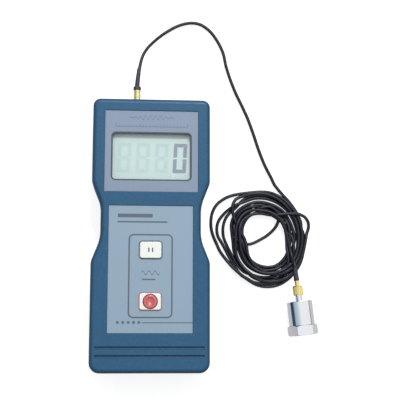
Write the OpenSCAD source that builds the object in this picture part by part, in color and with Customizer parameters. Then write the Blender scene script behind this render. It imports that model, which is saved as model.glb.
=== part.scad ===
// Handheld vibration meter with a piezo probe on a thin coiled cable.
// Millimetres. The meter lies on its back: +X right, +Y to the socket end, +Z out of its front.
// The origin is the centre of the back face.

/* [Case] */
// Length of the case
case_l = 162; // [158:1:176]
// Width of the case at the display and at the battery end
case_w = 70; // [69:0.5:78]
// How far each side is drawn in at the waist, where the hand holds it
waist_in = 5.4; // [4.5:0.1:6.4]
// Wall of both shells
wall = 2.2; // [1.8:0.1:2.5]
// Rounding of the front and back edges
edge_r = 3; // [1:0.25:3.5]
// Radius of the two corners at the socket end
top_corner_r = 4.5; // [4:0.25:7]
// Radius of the two corners at the battery end
foot_corner_r = 6; // [4:0.25:8]
// Radius where a shoulder leaves the side
shoulder_r = 8; // [6:0.5:10]
// Radius where a shoulder meets the waist
waist_r = 22; // [14:1:26]
// Slope of the shoulders, in degrees
shoulder_angle = 22; // [18:1:28]
// From the socket end to the straight part of the waist
waist_gap = 68.5; // [66:0.5:71]
// Straight part of the waist
waist_l = 11.5; // [8:0.5:14]
// From the bottom end to the first groove
groove_gap = 9.6; // [9:0.2:11]
// From one groove to the next
groove_pitch = 4.9; // [4:0.1:6]
// Width of a groove
groove_w = 1.9; // [1:0.1:2.5]
// Depth of a groove
groove_d = 0.8; // [0.4:0.1:1.1]

/* [Labels] */
// Depth of the two label recesses
recess_d = 0.9; // [0.6:0.05:1.1]
// Thickness of the labels
label_t = 0.4; // [0.2:0.05:0.5]
// From the side of the case to the display label
display_label_side = 7.3; // [6.2:0.1:8]
// Height of the display label
display_label_h = 48.9; // [47:0.1:50]
// From the socket end to the display label
display_label_gap = 7.5; // [6:0.1:9]
// From the side of the waist to the key label
key_label_side = 4.85; // [4.05:0.05:6.5]
// From the key label to the nearer groove
key_label_gap = 8.4; // [6:0.1:12]
// Bridge of the case between the labels
label_bridge = 8.3; // [6:0.1:9]

/* [Display] */
// From the side of the display label to the opening
view_side = 4.6; // [4:0.1:5.6]
// From the top of the display label to the opening
view_gap = 13.8; // [13:0.1:15]
// From the bottom of the display label to the opening
view_foot_gap = 7.5; // [6.5:0.1:9]
// Corner radius of the opening
view_r = 1.8; // [1:0.1:3]
// How far the display cell reaches past the opening at each side
glass_side = 2.1; // [1.7:0.1:2.4]
// How far the display cell reaches past the opening above and below
glass_lap = 3.2; // [2.7:0.1:3.7]
// Thickness of the display cell
glass_t = 2.8; // [2.2:0.1:3]
// Thickness of the clear window
window_t = 1; // [0.8:0.1:1.5]
// Height of the conductive strips under the display
zebra_h = 4; // [3.8:0.1:5]

/* [Keys] */
// Width of a key
key_w = 12.5; // [11:0.1:13]
// Height of a key
key_h = 9.6; // [9:0.1:11]
// Corner radius of a key
key_r = 1.4; // [0.8:0.1:2]
// How far a key stands out of its label
key_proud = 1; // [0.6:0.1:1.4]
// Travel of a key
key_travel = 0.5; // [0.3:0.05:0.6]
// Middle of the hold key, down the key label as a share of its height
hold_key_share = 0.352; // [0.3:0.002:0.4]
// Middle of the power key, down the key label as a share of its height
power_key_share = 0.755; // [0.65:0.005:0.8]
// Outer radius of the ring on the power key
ring_r = 4.2; // [3.4:0.1:4.4]
// Radius of the dimple inside the ring
dimple_r = 2.15; // [1.5:0.05:2.5]

/* [Battery box] */
// Diameter of a cell
cell_d = 10.5; // [10:0.1:10.8]
// Length of a cell with its nub
cell_l = 44.5; // [43:0.1:45.5]
// Length of a compressed contact spring
spring_l = 4.6; // [4:0.1:5.5]
// Wall of the battery box
box_wall = 1.2; // [1:0.1:1.5]
// From the bottom end to the battery box
box_gap = 6.5; // [6:0.1:8]
// Room between the battery box and the board
board_room = 1.7; // [1.6:0.1:3]

/* [Board] */
// Thickness of the circuit board
board_t = 1.6; // [1:0.1:1.8]
// From the socket end to the board
board_gap = 9.5; // [9.5:0.1:10]
// From the bottom end to the board
board_foot_gap = 21; // [20:0.1:22]

/* [Socket and plug] */
// From the meter's middle to the socket, to the left
jack_x = 9; // [4:0.5:14]
// Radius of the socket's threaded barrel
jack_r = 2.8; // [2.6:0.1:3]
// Radius of the socket's outer flange
jack_flange_r = 3.3; // [3.2:0.1:4]
// Radius of the gold plug
plug_r = 2.1; // [2.05:0.05:2.4]
// Length of the gold plug
plug_l = 6.9; // [6.6:0.1:7]

/* [Probe] */
// Size across the flats of the foot
hex_af = 16; // [15.8:0.1:16.4]
// Length of the foot
hex_l = 6; // [6:0.1:8]
// Diameter of the round body
probe_d = 15.4; // [15:0.1:15.6]
// Length of the round body
probe_l = 14.5; // [14:0.1:16]
// Wall of the round body
probe_wall = 1.2; // [1:0.1:1.4]
// Radius of the mounting thread's wall, for M5
mount_r = 2.1; // [1.6:0.05:2.6]
// Depth of the mounting thread
mount_l = 5.4; // [4:0.1:5.6]
// Length of the steel stub
stub_l = 3.5; // [3:0.1:5]
// Diameter of the coupling nut
nut_d = 6; // [5.8:0.1:7]
// Length of the coupling nut
nut_l = 5.8; // [5.6:0.1:7]
// Length of the gold neck behind the nut
neck_l = 3.1; // [2:0.1:4]

/* [Cable] */
// Diameter of the cable
cable_d = 2; // [1.8:0.05:2.1]
// Radius of the widest turn of the coil
coil_r = 30; // [29.8:0.1:30.2]
// Radius of the tightest turn of the coil
hole_r = 16.6; // [16.2:0.1:16.8]

/* [Hidden] */

// Roundness of turned parts, and steps in each rounded edge and corner of the case
$fn = 48;
edge_steps = 5;
corner_steps = 5;
shoulder_steps = 2;
waist_steps = 5;

// Overrun of every cut, and the clearances between fitted pieces
over = 1;
fit_gap = 0.1;
slide_gap = 0.2;

// Heights, stacked from the back face to the front face
cell_gap = 0.2;
cell_z = wall + cell_gap + cell_d / 2;
ceiling_z = wall + 2 * cell_gap + cell_d;
box_top_z = ceiling_z + box_wall;
board_back_z = box_top_z + board_room;
board_front_z = board_back_z + board_t;
glass_back_z = board_front_z + zebra_h;
glass_front_z = glass_back_z + glass_t;
lip_t = 0.4;
window_back_z = glass_front_z + lip_t;
inner_z = window_back_z + window_t;
case_t = inner_z + wall;
split_z = case_t / 2;
label_back_z = case_t - recess_d;
label_z = label_back_z + label_t;

// Half sizes of the case
half_l = case_l / 2;
half_w = case_w / 2;
half_waist = half_w - waist_in;
inner_l = half_l - wall;

// Seam between the shells, and the lip that locates them
seam_d = 0.3;
seam_h = 0.25;
lip_h = 1.5;
lip_inset = wall / 2;

// Waist and shoulders, tangent arcs joined by a straight slope
waist_top_y = half_l - waist_gap;
waist_foot_y = waist_top_y - waist_l;
arc_drop = (shoulder_r + waist_r) * (1 - cos(shoulder_angle));
slope_l = (half_w - half_waist - arc_drop) / sin(shoulder_angle);
shoulder_run = (shoulder_r + waist_r) * sin(shoulder_angle) + slope_l * cos(shoulder_angle);

// Labels, display and keys, sized from the case and placed down from the socket end
display_label_w = case_w - 2 * display_label_side;
key_label_w = 2 * (half_waist - key_label_side);
key_label_h = case_l - display_label_gap - display_label_h - label_bridge
    - key_label_gap - groove_pitch - groove_gap;
view_w = display_label_w - 2 * view_side;
view_h = display_label_h - view_gap - view_foot_gap;
glass_w = view_w + 2 * glass_side;
glass_h = view_h + 2 * glass_lap;
display_label_y = half_l - display_label_gap - display_label_h / 2;
key_label_top = half_l - display_label_gap - display_label_h - label_bridge;
key_label_y = key_label_top - key_label_h / 2;
view_y = half_l - display_label_gap - view_gap - view_h / 2;
hold_key_y = key_label_top - hold_key_share * key_label_h;
power_key_y = key_label_top - power_key_share * key_label_h;
groove_cut_r = (groove_w * groove_w / 4 + groove_d * groove_d) / (2 * groove_d);
groove_end = 0.3;
groove_l = case_w - 2 * edge_r - 2 * groove_end;

// Window, display frame and strips
window_lap = 2.2;
frame_wall = 0.9;
lip_w = 1.2;
frame_w = glass_w + 2 * slide_gap + 2 * frame_wall;
frame_h = glass_h + 2 * slide_gap + 2 * frame_wall;
strip_w = 2.2;
strip_edge = 0.4;
reflector_t = 0.3;

// Key cap, flange and the switch under it
key_gap = 0.25;
flange_w = 1;
flange_t = 1.1;
flange_play = 0.15;
key_top_z = label_z + key_proud;
key_foot_z = inner_z - flange_play - flange_t;
key_step = 0.4;
switch_w = 12;
switch_h = 3.3;
plunger_r = 3.4;
plunger_sink = 1.3;
plunger_stop = 0.4;
leg_w = 1;
leg_t = 0.3;
ring_h = 0.35;
dimple_d = 0.6;

// Battery box, its contacts and the cover
cell_count = 4;
cell_pitch = cell_d + 2 * cell_gap;
plate_t = 0.5;
plate_w = 7;
tab_w = 2;
tab_rise = 2.5;
box_in_w = cell_count * cell_pitch;
box_in_l = plate_t + cell_l + spring_l + plate_t;
box_foot_y = -half_l + box_gap + box_wall;
box_head_y = box_foot_y + box_in_l;
rail_w = 2.4;
rail_h = 1.6;
nub_r = 1.8;
nub_l = 1.2;
spring_wire_r = 0.35;
spring_turns = 2.5;
spring_foot_r = 3.4;
spring_head_r = 2.2;
cover_half_w = box_in_w / 2 + box_wall / 2;
cover_gap = 0.15;
cover_lap = 1.8;
cover_head_y = box_head_y + box_wall + cover_lap;
tongue_w = 1.1;
tongue_t = 1;
ridge_count = 5;
ridge_pitch = 2.2;
ridge_w = 1;
ridge_d = 0.5;
ridge_l = 16;
ridge_gap = 7;

// Screws through the back into the front shell
boss_r = 3.3;
boss_margin = 0.7;
boss_root = wall / 4;
boss_x = half_w - wall - boss_margin - boss_r;
boss_y = half_l - wall - boss_margin - boss_r;
screw_r = 1.25;
screw_play = 0.05;
screw_grip = 7.5;
head_r = 2.1;
head_h = 1.6;
head_seat_z = 7;
well_r = 2.3;
slot_w = 0.6;
slot_d = 0.7;

// Board, its posts and screws
board_side = 0.6;
board_w = 2 * (half_waist - wall - board_side);
board_head_y = half_l - board_gap;
board_foot_y = -half_l + board_foot_gap;
board_l = board_head_y - board_foot_y;
post_r = 2.4;
post_side = 4.8;
post_x = board_w / 2 - post_side;
post_gap = 3.3;
post_screw_r = 0.8;
post_head_r = 1.9;
post_head_h = 1.2;
post_grip = 5;

// Components on the board
chip_t = 1.6;
chip_w = 12;
chip_side = 14.8;
chip_pins = 11;
chip_pitch = 0.8;
pin_w = 0.3;
pin_t = 0.2;
pin_out = 1;
small_chip_w = 5;
small_chip_l = 4;
small_chip_t = 1.5;
small_pins = 4;
small_pitch = 1.27;
converter_w = 8.7;
converter_pins = 7;
crystal_w = 11;
crystal_l = 4.6;
crystal_h = 3.6;
crystal_r = 2.2;
crystal_side = 15.8;
cap_r = 3.1;
cap_h = 7;
cap_pitch = 8;
cap_count = 3;
resistor_w = 2;
resistor_l = 1.2;
resistor_t = 0.5;
resistor_pitch = 4;
resistor_count = 6;
trimmer_w = 7;
trimmer_h = 4.5;
rotor_r = 2.3;
rotor_t = 1;

// Socket: distances run out from the end face of the case
plug_wall = 0.3;
plug_play = 0.1;
plug_bore_r = plug_r - plug_wall;
jack_flange_t = 1.4;
jack_snout_r = plug_bore_r - plug_play;
jack_snout_l = 5.4;
jack_snout_wall = 0.45;
jack_tail = 4.5;
jack_bore_r = jack_snout_r - jack_snout_wall;
contact_r = 0.45;
washer_r = 4.2;
washer_t = 0.8;
jack_nut_af = 8;
jack_nut_t = 2.2;
boot_lip = 0.2;
boot_r = plug_r + boot_lip;
boot_l = 2.4;
boot_step = 0.3;
sleeve_thick = 1.45;
sleeve_thin = 1.2;

// Probe: heights run from the bottom of the foot to the cable
probe_x = 93.4;
probe_y = -59.2;
probe_turn = 6.5;
foot_chamfer = 0.6;
spigot_h = 1.5;
spigot_r = probe_d / 2 - probe_wall - fit_gap;
spin_r = 1.5;
mass_gap = 1.3;
mass_r = probe_d / 2 - probe_wall - mass_gap;
mass_l = 4.4;
mass_lip = 0.7;
disc_r = mass_r - mass_lip;
disc_t = 1;
disc_bore_r = 1.7;
electrode_t = 0.2;
preload_af = 5.5;
preload_t = 2;
roof_t = 1.3;
flange_r = 3.6;
flange_h = 0.9;
nut_wall = 0.6;
nut_roof = 0.9;
plug_flange_t = 0.5;
thread_r = nut_d / 2 - nut_wall;
thread_l = nut_l - nut_roof - plug_flange_t - fit_gap;
thread_play = 0.08;
thread_d = 0.4;
stub_r = thread_r - thread_d;
stub_wall = 0.4;
insulator_r = stub_r - stub_wall;
neck_r = 1.3;
plug_flange_r = thread_r - 2 * fit_gap;
knurl_count = 20;
knurl_d = 0.15;
knurl_w = 0.4;
nut_chamfer = 0.5;
sleeve_l = 7.6;
sleeve_foot_r = 1.65;
sleeve_head_r = 1.25;
disc_z = hex_l + spigot_h;
electrode_z = disc_z + disc_t;
upper_disc_z = electrode_z + electrode_t;
mass_z = upper_disc_z + disc_t;
preload_z = mass_z + mass_l;
body_top_z = hex_l + probe_l;
roof_z = body_top_z - roof_t;
stub_top_z = body_top_z + stub_l;
thread_top_z = stub_top_z + thread_l;
nut_z = stub_top_z + fit_gap;
nut_top_z = nut_z + nut_l;
neck_top_z = nut_top_z + neck_l;
sleeve_top_z = neck_top_z + sleeve_l;

// Coil: the cable winds inwards and outwards, a layer higher each time it turns back
coil_x = 66.8;
coil_y = -0.3;
hole_x = 70.5;
hole_y = -1.5;
coil_start_angle = 50;
coil_end_angle = -10;
coil_rounds = 11;
coil_layers = 4;
layer_turns = 3.58;
coil_steps = 24;
turn_gap = 0.45;
coil_turns = coil_rounds + (coil_start_angle - coil_end_angle) / 360;
layer_rise = cable_d + turn_gap;

// Route of the cable from the meter's plug to the coil, after the sleeve's own first points
sleeve_route = [[-8.9, 94, 14], [-8.6, 97.5, 13.8], [-8.2, 101, 13.6]];
lead_route = [
    [-7.8, 103.6, 13.3], [-7.4, 105.6, 13], [-6.6, 109.5, 12.2], [-5.2, 113.7, 11],
    [-2.7, 118.3, 9], [1, 123.1, 6.5], [5.6, 128, 4], [10.1, 131.8, 2.3], [15.2, 135.2, 1.3],
    [20.4, 137.3, 1], [25.5, 138.1, 1], [30.6, 137.3, 1], [35.6, 134.2, 1], [39.6, 129.8, 1],
    [43.4, 123.5, 1], [45.8, 117.5, 1], [47.2, 110.5, 1], [49.8, 102, 1], [53.4, 92.6, 1],
    [57.4, 84.2, 1], [61.2, 75.6, 1], [64.8, 65.4, 1], [67.7, 56.4, 1], [71.4, 46.8, 1],
    [75.4, 38.8, 1], [79, 31.8, 1]
];
tail_route = [[88.6, -13.2, 8.3]];
lead_sides = 8;
coil_sides = 6;
lead_steps = 2;

// Vectors and curves

function unit(v) = v / norm(v);

function arc(x, y, r, from, to, steps) =
    [for (k = [0 : steps]) let (a = from + (to - from) * k / steps) [x + r * cos(a), y + r * sin(a)]];

function blend(a, b, share) = a + (b - a) * share;

function ease(x) = let (t = min(max(x, 0), 1)) t * t * (3 - 2 * t);

function curve_point(a, b, c, d, t) =
    (2 * b + (c - a) * t + (2 * a - 5 * b + 4 * c - d) * t * t
     + (3 * b - a - 3 * c + d) * t * t * t) / 2;

// A smooth curve through points, whose first and last spans stay straight
function smooth_path(p, steps) = concat(
    [p[0]],
    [for (i = [1 : len(p) - 3]) for (k = [0 : steps - 1])
        curve_point(p[i - 1], p[i], p[i + 1], p[i + 2], k / steps)],
    [p[len(p) - 2], p[len(p) - 1]]
);

function heading(p, i) =
    unit(p[min(i + 1, len(p) - 1)] - p[max(i - 1, 0)]);

function ring(centre, t, r, sides, side_axis) =
    let (s = unit(cross(t, side_axis)), u = cross(s, t))
    [for (k = [0 : sides - 1]) let (a = 360 * k / sides) centre + r * (cos(a) * u + sin(a) * s)];

// Solids from rings of points

module skin(rings) {
    n = len(rings[0]);
    m = len(rings);
    foot = [for (k = [1 : n - 2]) [0, k, k + 1]];
    top = [for (k = [1 : n - 2]) [(m - 1) * n, (m - 1) * n + k + 1, (m - 1) * n + k]];
    sides = [for (j = [0 : m - 2]) for (k = [0 : n - 1])
        let (a = j * n + k, b = j * n + (k + 1) % n)
        each [[a, a + n, b + n], [a, b + n, b]]];
    polyhedron(points = [for (r = rings) each r], faces = concat(foot, top, sides));
}

// A tube along a path, with one radius or one for each point
module tube(path, r, sides, side_axis = [0, 0, 1]) {
    skin([for (i = [0 : len(path) - 1])
        ring(path[i], heading(path, i), is_list(r) ? r[i] : r, sides, side_axis)]);
}

// Outline of the case, inset by a distance

function right_side(inset) = concat(
    arc(half_w - foot_corner_r, -half_l + foot_corner_r, foot_corner_r - inset, -90, 0, corner_steps),
    arc(half_w - shoulder_r, waist_foot_y - shoulder_run, shoulder_r - inset,
        0, shoulder_angle, shoulder_steps),
    arc(half_waist + waist_r, waist_foot_y, waist_r + inset, 180 + shoulder_angle, 180, waist_steps),
    arc(half_waist + waist_r, waist_top_y, waist_r + inset, 180, 180 - shoulder_angle, waist_steps),
    arc(half_w - shoulder_r, waist_top_y + shoulder_run, shoulder_r - inset,
        -shoulder_angle, 0, shoulder_steps),
    arc(half_w - top_corner_r, half_l - top_corner_r, top_corner_r - inset, 0, 90, corner_steps)
);

function outline(inset) =
    let (p = right_side(inset))
    concat(p, [for (k = [len(p) - 1 : -1 : 0]) [-p[k][0], p[k][1]]]);

module case_slab(inset, z0, z1) {
    translate([0, 0, z0]) linear_extrude(z1 - z0) polygon(outline(inset));
}

// What the rounding of an edge takes off, as inset and distance from the face
function edge_profile() = concat(
    [for (k = [0 : edge_steps]) let (a = 90 * k / edge_steps) [edge_r * (1 - cos(a)), edge_r * (1 - sin(a))]],
    [[edge_r, -over], [-over, -over], [-over, edge_r]]
);

// A closed band round the case that rounds the edge of the face at z, whose outside points to side
module edge_cut(z, side) {
    profile = edge_profile();
    steps = side < 0 ? [0 : len(profile) - 1] : [len(profile) - 1 : -1 : 0];
    loops = [for (k = steps) [for (q = outline(profile[k][0])) [q[0], q[1], z - side * profile[k][1]]]];
    n = len(loops[0]);
    m = len(loops);
    polyhedron(points = [for (loop = loops) each loop], faces = [for (j = [0 : m - 1]) for (k = [0 : n - 1])
        let (a = j * n + k, b = j * n + (k + 1) % n, c = (j + 1) % m * n + (k + 1) % n, d = (j + 1) % m * n + k)
        each [[a, d, c], [a, c, b]]]);
}

// Simple shapes

module plate(w, h, t) {
    translate([-w / 2, -h / 2, 0]) cube([w, h, t]);
}

module rounded_plate(w, h, r, t) {
    linear_extrude(t) {
        square([w - 2 * r, h], center = true);
        square([w, h - 2 * r], center = true);
        for (x = [-1, 1], y = [-1, 1])
            translate([x * (w / 2 - r), y * (h / 2 - r)]) circle(r);
    }
}

module pipe(outer_r, bore_r, z0, z1) {
    difference() {
        translate([0, 0, z0]) cylinder(r = outer_r, h = z1 - z0);
        translate([0, 0, z0 - over]) cylinder(r = bore_r, h = z1 - z0 + 2 * over);
    }
}

module at_corners(x, top_y, foot_y) {
    for (sx = [-1, 1], y = [top_y, foot_y]) translate([sx * x, y, 0]) children();
}

// Turns +Z to +Y, at the socket's place on the case's end face
module at_jack() {
    translate([-jack_x, half_l, split_z]) rotate([-90, 0, 0]) children();
}

module at_probe() {
    translate([probe_x, probe_y, hex_af / 2]) rotate([0, 0, probe_turn]) rotate([-90, 0, 0]) children();
}

// The same place as at_probe(), for a point on the probe's axis
function probe_point(height) =
    [probe_x - height * sin(probe_turn), probe_y + height * cos(probe_turn), hex_af / 2];

// Shells of the case

module jack_hole() {
    at_jack() translate([0, 0, -wall - lip_h]) cylinder(r = jack_r + fit_gap, h = wall + lip_h + over);
}

module grooves() {
    for (k = [0, 1])
        translate([-groove_l / 2, -half_l + groove_gap + k * groove_pitch, case_t - groove_d + groove_cut_r])
            rotate([0, 90, 0]) cylinder(r = groove_cut_r, h = groove_l);
}

module key_openings() {
    for (y = [hold_key_y, power_key_y])
        translate([0, y, 0])
            rounded_plate(key_w + 2 * key_gap, key_h + 2 * key_gap, key_r + key_gap, case_t + over);
}

module view_opening() {
    translate([0, view_y, inner_z - over])
        rounded_plate(view_w, view_h, view_r, wall + 2 * over);
}

module front_case() {
    color([0.235, 0.392, 0.522]) difference() {
        union() {
            difference() {
                union() {
                    case_slab(seam_d, split_z, split_z + seam_h);
                    case_slab(0, split_z + seam_h, case_t);
                }
                edge_cut(case_t, 1);
                case_slab(wall, split_z - over, inner_z);
                case_slab(lip_inset, split_z - over, split_z + lip_h + fit_gap);
            }
            at_corners(boss_x, boss_y, -boss_y)
                translate([0, 0, split_z]) cylinder(r = boss_r, h = inner_z - split_z + boss_root);
            at_corners(post_x, board_head_y - post_gap, board_foot_y + post_gap)
                translate([0, 0, board_front_z]) cylinder(r = post_r, h = inner_z - board_front_z + boss_root);
        }
        at_corners(boss_x, boss_y, -boss_y)
            translate([0, 0, split_z - over])
                cylinder(r = screw_r + screw_play, h = over + screw_grip + over);
        at_corners(post_x, board_head_y - post_gap, board_foot_y + post_gap)
            translate([0, 0, board_front_z - over])
                cylinder(r = post_screw_r + screw_play, h = over + post_grip + over);
        translate([0, display_label_y, label_back_z])
            plate(display_label_w + 2 * fit_gap, display_label_h + 2 * fit_gap, recess_d + over);
        translate([0, key_label_y, label_back_z])
            plate(key_label_w + 2 * fit_gap, key_label_h + 2 * fit_gap, recess_d + over);
        view_opening();
        key_openings();
        grooves();
        jack_hole();
    }
}

module battery_box() {
    difference() {
        union() {
            translate([0, (box_foot_y + box_head_y) / 2, wall - tongue_t])
                plate(box_in_w + 2 * box_wall, box_in_l + 2 * box_wall, box_top_z - wall + tongue_t);
            translate([0, (box_foot_y + box_head_y) / 2, wall - tongue_t])
                plate(box_in_w + 2 * box_wall + 2 * rail_w, box_in_l + 2 * box_wall, tongue_t + rail_h);
        }
        translate([0, (box_foot_y + box_head_y) / 2, wall - tongue_t - over])
            plate(box_in_w, box_in_l, ceiling_z - wall + tongue_t + over);
        for (side = [-1, 1])
            translate([side * (cell_count - 1) / 2 * cell_pitch, box_head_y + box_wall / 2, cell_z + tab_rise])
                cube([tab_w + 2 * fit_gap, box_wall + 2 * over, plate_t + 2 * fit_gap], center = true);
    }
}

module cover_space() {
    translate([-cover_half_w - cover_gap, -half_l - over, -over])
        cube([2 * (cover_half_w + cover_gap), cover_head_y + cover_gap + half_l + over, over + wall + fit_gap]);
    translate([-cover_half_w - tongue_w - cover_gap, -half_l - over, wall - tongue_t - fit_gap])
        cube([2 * (cover_half_w + tongue_w + cover_gap), cover_head_y + cover_gap + half_l + over,
              tongue_t + 2 * fit_gap]);
}

module rear_case() {
    color([0.2, 0.35, 0.48]) difference() {
        union() {
            difference() {
                case_slab(0, 0, split_z);
                edge_cut(0, -1);
                case_slab(wall, wall, split_z + over);
            }
            difference() {
                case_slab(lip_inset + fit_gap, split_z - lip_h, split_z + lip_h);
                case_slab(wall, split_z - lip_h - over, split_z + lip_h + over);
            }
            at_corners(boss_x, boss_y, -boss_y)
                translate([0, 0, wall / 2]) cylinder(r = boss_r, h = split_z - wall / 2);
            battery_box();
        }
        at_corners(boss_x, boss_y, -boss_y) {
            translate([0, 0, -over]) cylinder(r = well_r, h = head_seat_z + over);
            cylinder(r = screw_r + fit_gap, h = split_z + over);
        }
        cover_space();
        jack_hole();
    }
}

module cover_ridges() {
    for (k = [0 : ridge_count - 1])
        translate([-ridge_l / 2, cover_head_y - ridge_gap - k * ridge_pitch, -over])
            cube([ridge_l, ridge_w, over + ridge_d]);
}

module battery_cover() {
    color([0.2, 0.35, 0.48]) difference() {
        union() {
            difference() {
                intersection() {
                    case_slab(0, 0, wall);
                    translate([-cover_half_w, -half_l - over, 0])
                        cube([2 * cover_half_w, cover_head_y + half_l + over, wall]);
                }
                edge_cut(0, -1);
            }
            translate([-cover_half_w - tongue_w, -half_l + box_gap, wall - tongue_t])
                cube([2 * (cover_half_w + tongue_w), cover_head_y + half_l - box_gap, tongue_t]);
        }
        cover_ridges();
    }
}

module screw(r, head_radius, head_height, grip) {
    difference() {
        union() {
            translate([0, 0, -head_height]) cylinder(r = head_radius, h = head_height);
            cylinder(r = r, h = grip);
        }
        for (a = [0, 90])
            rotate([0, 0, a]) translate([0, 0, -head_height])
                cube([2 * head_radius - slot_w, slot_w, slot_d], center = true);
    }
}

module case_screws() {
    color([0.75, 0.76, 0.78]) at_corners(boss_x, boss_y, -boss_y)
        translate([0, 0, head_seat_z])
            screw(screw_r, head_r, head_h, split_z + screw_grip - head_seat_z);
}

// Labels and display

module display_label() {
    color([0.55, 0.61, 0.69]) difference() {
        translate([0, display_label_y, label_back_z]) plate(display_label_w, display_label_h, label_t);
        view_opening();
    }
}

module key_label() {
    color([0.57, 0.67, 0.74]) difference() {
        translate([0, key_label_y, label_back_z]) plate(key_label_w, key_label_h, label_t);
        key_openings();
    }
}

module lcd_window() {
    color([0.9, 0.95, 0.97, 0.35]) translate([0, view_y, window_back_z])
        plate(view_w + 2 * window_lap, view_h + 2 * window_lap, window_t);
}

module lcd_glass() {
    color([0.81, 0.9, 0.89]) translate([0, view_y, glass_back_z]) plate(glass_w, glass_h, glass_t);
}

module lcd_frame() {
    color([0.12, 0.12, 0.13]) translate([0, view_y, 0]) difference() {
        translate([0, 0, board_front_z]) plate(frame_w, frame_h, window_back_z - board_front_z);
        translate([0, 0, board_front_z - over])
            plate(glass_w + 2 * slide_gap, glass_h + 2 * slide_gap, glass_front_z - board_front_z + over);
        translate([0, 0, board_front_z])
            plate(glass_w - 2 * lip_w, glass_h - 2 * lip_w, window_back_z - board_front_z + over);
    }
}

module lcd_reflector() {
    color([0.9, 0.9, 0.9]) translate([0, view_y, glass_back_z - reflector_t])
        plate(glass_w - 2 * strip_w, glass_h - 4 * strip_edge - 2 * strip_w, reflector_t);
}

module zebra_strips() {
    color([0.35, 0.35, 0.36]) for (side = [-1, 1])
        translate([0, view_y + side * (glass_h / 2 - strip_edge - strip_w / 2), board_front_z])
            plate(glass_w - 2 * strip_w, strip_w, zebra_h);
}

// Keys and switches

module key_cap(y) {
    translate([0, y, key_foot_z])
        rounded_plate(key_w + 2 * flange_w, key_h + 2 * flange_w, key_r + flange_w, flange_t);
    translate([0, y, key_foot_z]) rounded_plate(key_w, key_h, key_r, key_top_z - key_step - key_foot_z);
    translate([0, y, key_foot_z])
        rounded_plate(key_w - key_step, key_h - key_step, key_r - key_step / 2, key_top_z - key_foot_z);
}

module hold_key() {
    color([0.95, 0.95, 0.93]) key_cap(hold_key_y);
}

module power_key() {
    dimple_ball_r = (dimple_r * dimple_r + dimple_d * dimple_d) / (2 * dimple_d);
    color([0.86, 0.3, 0.33]) difference() {
        union() {
            key_cap(power_key_y);
            translate([0, power_key_y, key_foot_z]) cylinder(r = ring_r, h = key_top_z + ring_h - key_foot_z);
        }
        translate([0, power_key_y, key_top_z + ring_h - dimple_d + dimple_ball_r]) sphere(dimple_ball_r);
    }
}

module key_plunger(y) {
    switch_top = board_front_z + switch_h;
    color([0.2, 0.2, 0.2]) translate([0, y, switch_top - plunger_sink])
        cylinder(r = plunger_r, h = key_foot_z - switch_top + plunger_sink);
}

module key_switch(y) {
    bore_h = plunger_sink + key_travel + plunger_stop;
    color([0.15, 0.15, 0.16]) translate([0, y, board_front_z]) difference() {
        union() {
            plate(switch_w, switch_w, switch_h);
            for (sx = [-1, 1], sy = [-1, 1])
                translate([sx * (switch_w + leg_w) / 2, sy * switch_w / 4, 0]) plate(leg_w, leg_w, leg_t);
        }
        translate([0, 0, switch_h - bore_h]) cylinder(r = plunger_r + fit_gap, h = bore_h + over);
    }
}

module hold_plunger() {
    key_plunger(hold_key_y);
}

module power_plunger() {
    key_plunger(power_key_y);
}

module hold_switch() {
    key_switch(hold_key_y);
}

module power_switch() {
    key_switch(power_key_y);
}

// Board and what it carries

module main_board() {
    color([0.1, 0.42, 0.22]) difference() {
        translate([0, (board_head_y + board_foot_y) / 2, board_back_z]) plate(board_w, board_l, board_t);
        at_corners(post_x, board_head_y - post_gap, board_foot_y + post_gap)
            translate([0, 0, board_back_z - over]) cylinder(r = post_screw_r + slide_gap, h = board_t + 2 * over);
    }
}

module board_screws() {
    color([0.8, 0.8, 0.8]) at_corners(post_x, board_head_y - post_gap, board_foot_y + post_gap)
        translate([0, 0, board_back_z]) screw(post_screw_r, post_head_r, post_head_h, board_t + post_grip);
}

// A chip on the board's front, with pins along two sides or four
module chip(w, l, t, pins, pitch, four_sides = false) {
    plate(w, l, t);
    for (turn = four_sides ? [0, 90, 180, 270] : [0, 180], k = [0 : pins - 1])
        rotate([0, 0, turn]) translate([(k - (pins - 1) / 2) * pitch, -l / 2 - pin_out / 2, 0])
            plate(pin_w, pin_out, pin_t);
}

// Places children on the board's back, facing away from it
module on_back(x, y) {
    translate([x, y, board_back_z]) rotate([180, 0, 0]) children();
}

module microcontroller() {
    color([0.1, 0.1, 0.11]) translate([-board_w / 2 + chip_side, view_y - frame_h / 2 - chip_w, board_front_z])
        chip(chip_w, chip_w, chip_t, chip_pins, chip_pitch, true);
}

module amplifier_chips() {
    color([0.1, 0.1, 0.11]) for (k = [0, 1])
        on_back(-jack_x + k * 2 * small_chip_w, view_y + frame_h / 2 - 2 * small_chip_l)
            chip(small_chip_w, small_chip_l, small_chip_t, small_pins, small_pitch);
}

module converter_chip() {
    color([0.1, 0.1, 0.11]) on_back(-jack_x + small_chip_w, view_y)
        chip(converter_w, small_chip_l, small_chip_t, converter_pins, small_pitch);
}

module crystal() {
    color([0.8, 0.8, 0.82]) translate([board_w / 2 - crystal_side, view_y - frame_h / 2 - chip_w, board_front_z])
        rounded_plate(crystal_w, crystal_l, crystal_r, crystal_h);
}

module capacitors() {
    color([0.15, 0.2, 0.45]) for (k = [0 : cap_count - 1])
        on_back(-board_w / 2 + cap_pitch * (k + 1), waist_top_y) cylinder(r = cap_r, h = cap_h);
}

module chip_resistors() {
    color([0.2, 0.18, 0.17]) for (k = [0 : resistor_count - 1], row = [0, 1])
        on_back(-resistor_pitch * k, view_y - frame_h / 2 + resistor_pitch * (row + 1))
            plate(resistor_w, resistor_l, resistor_t);
}

module at_trimmer() {
    on_back(board_w / 4, view_y - trimmer_w) children();
}

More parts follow.
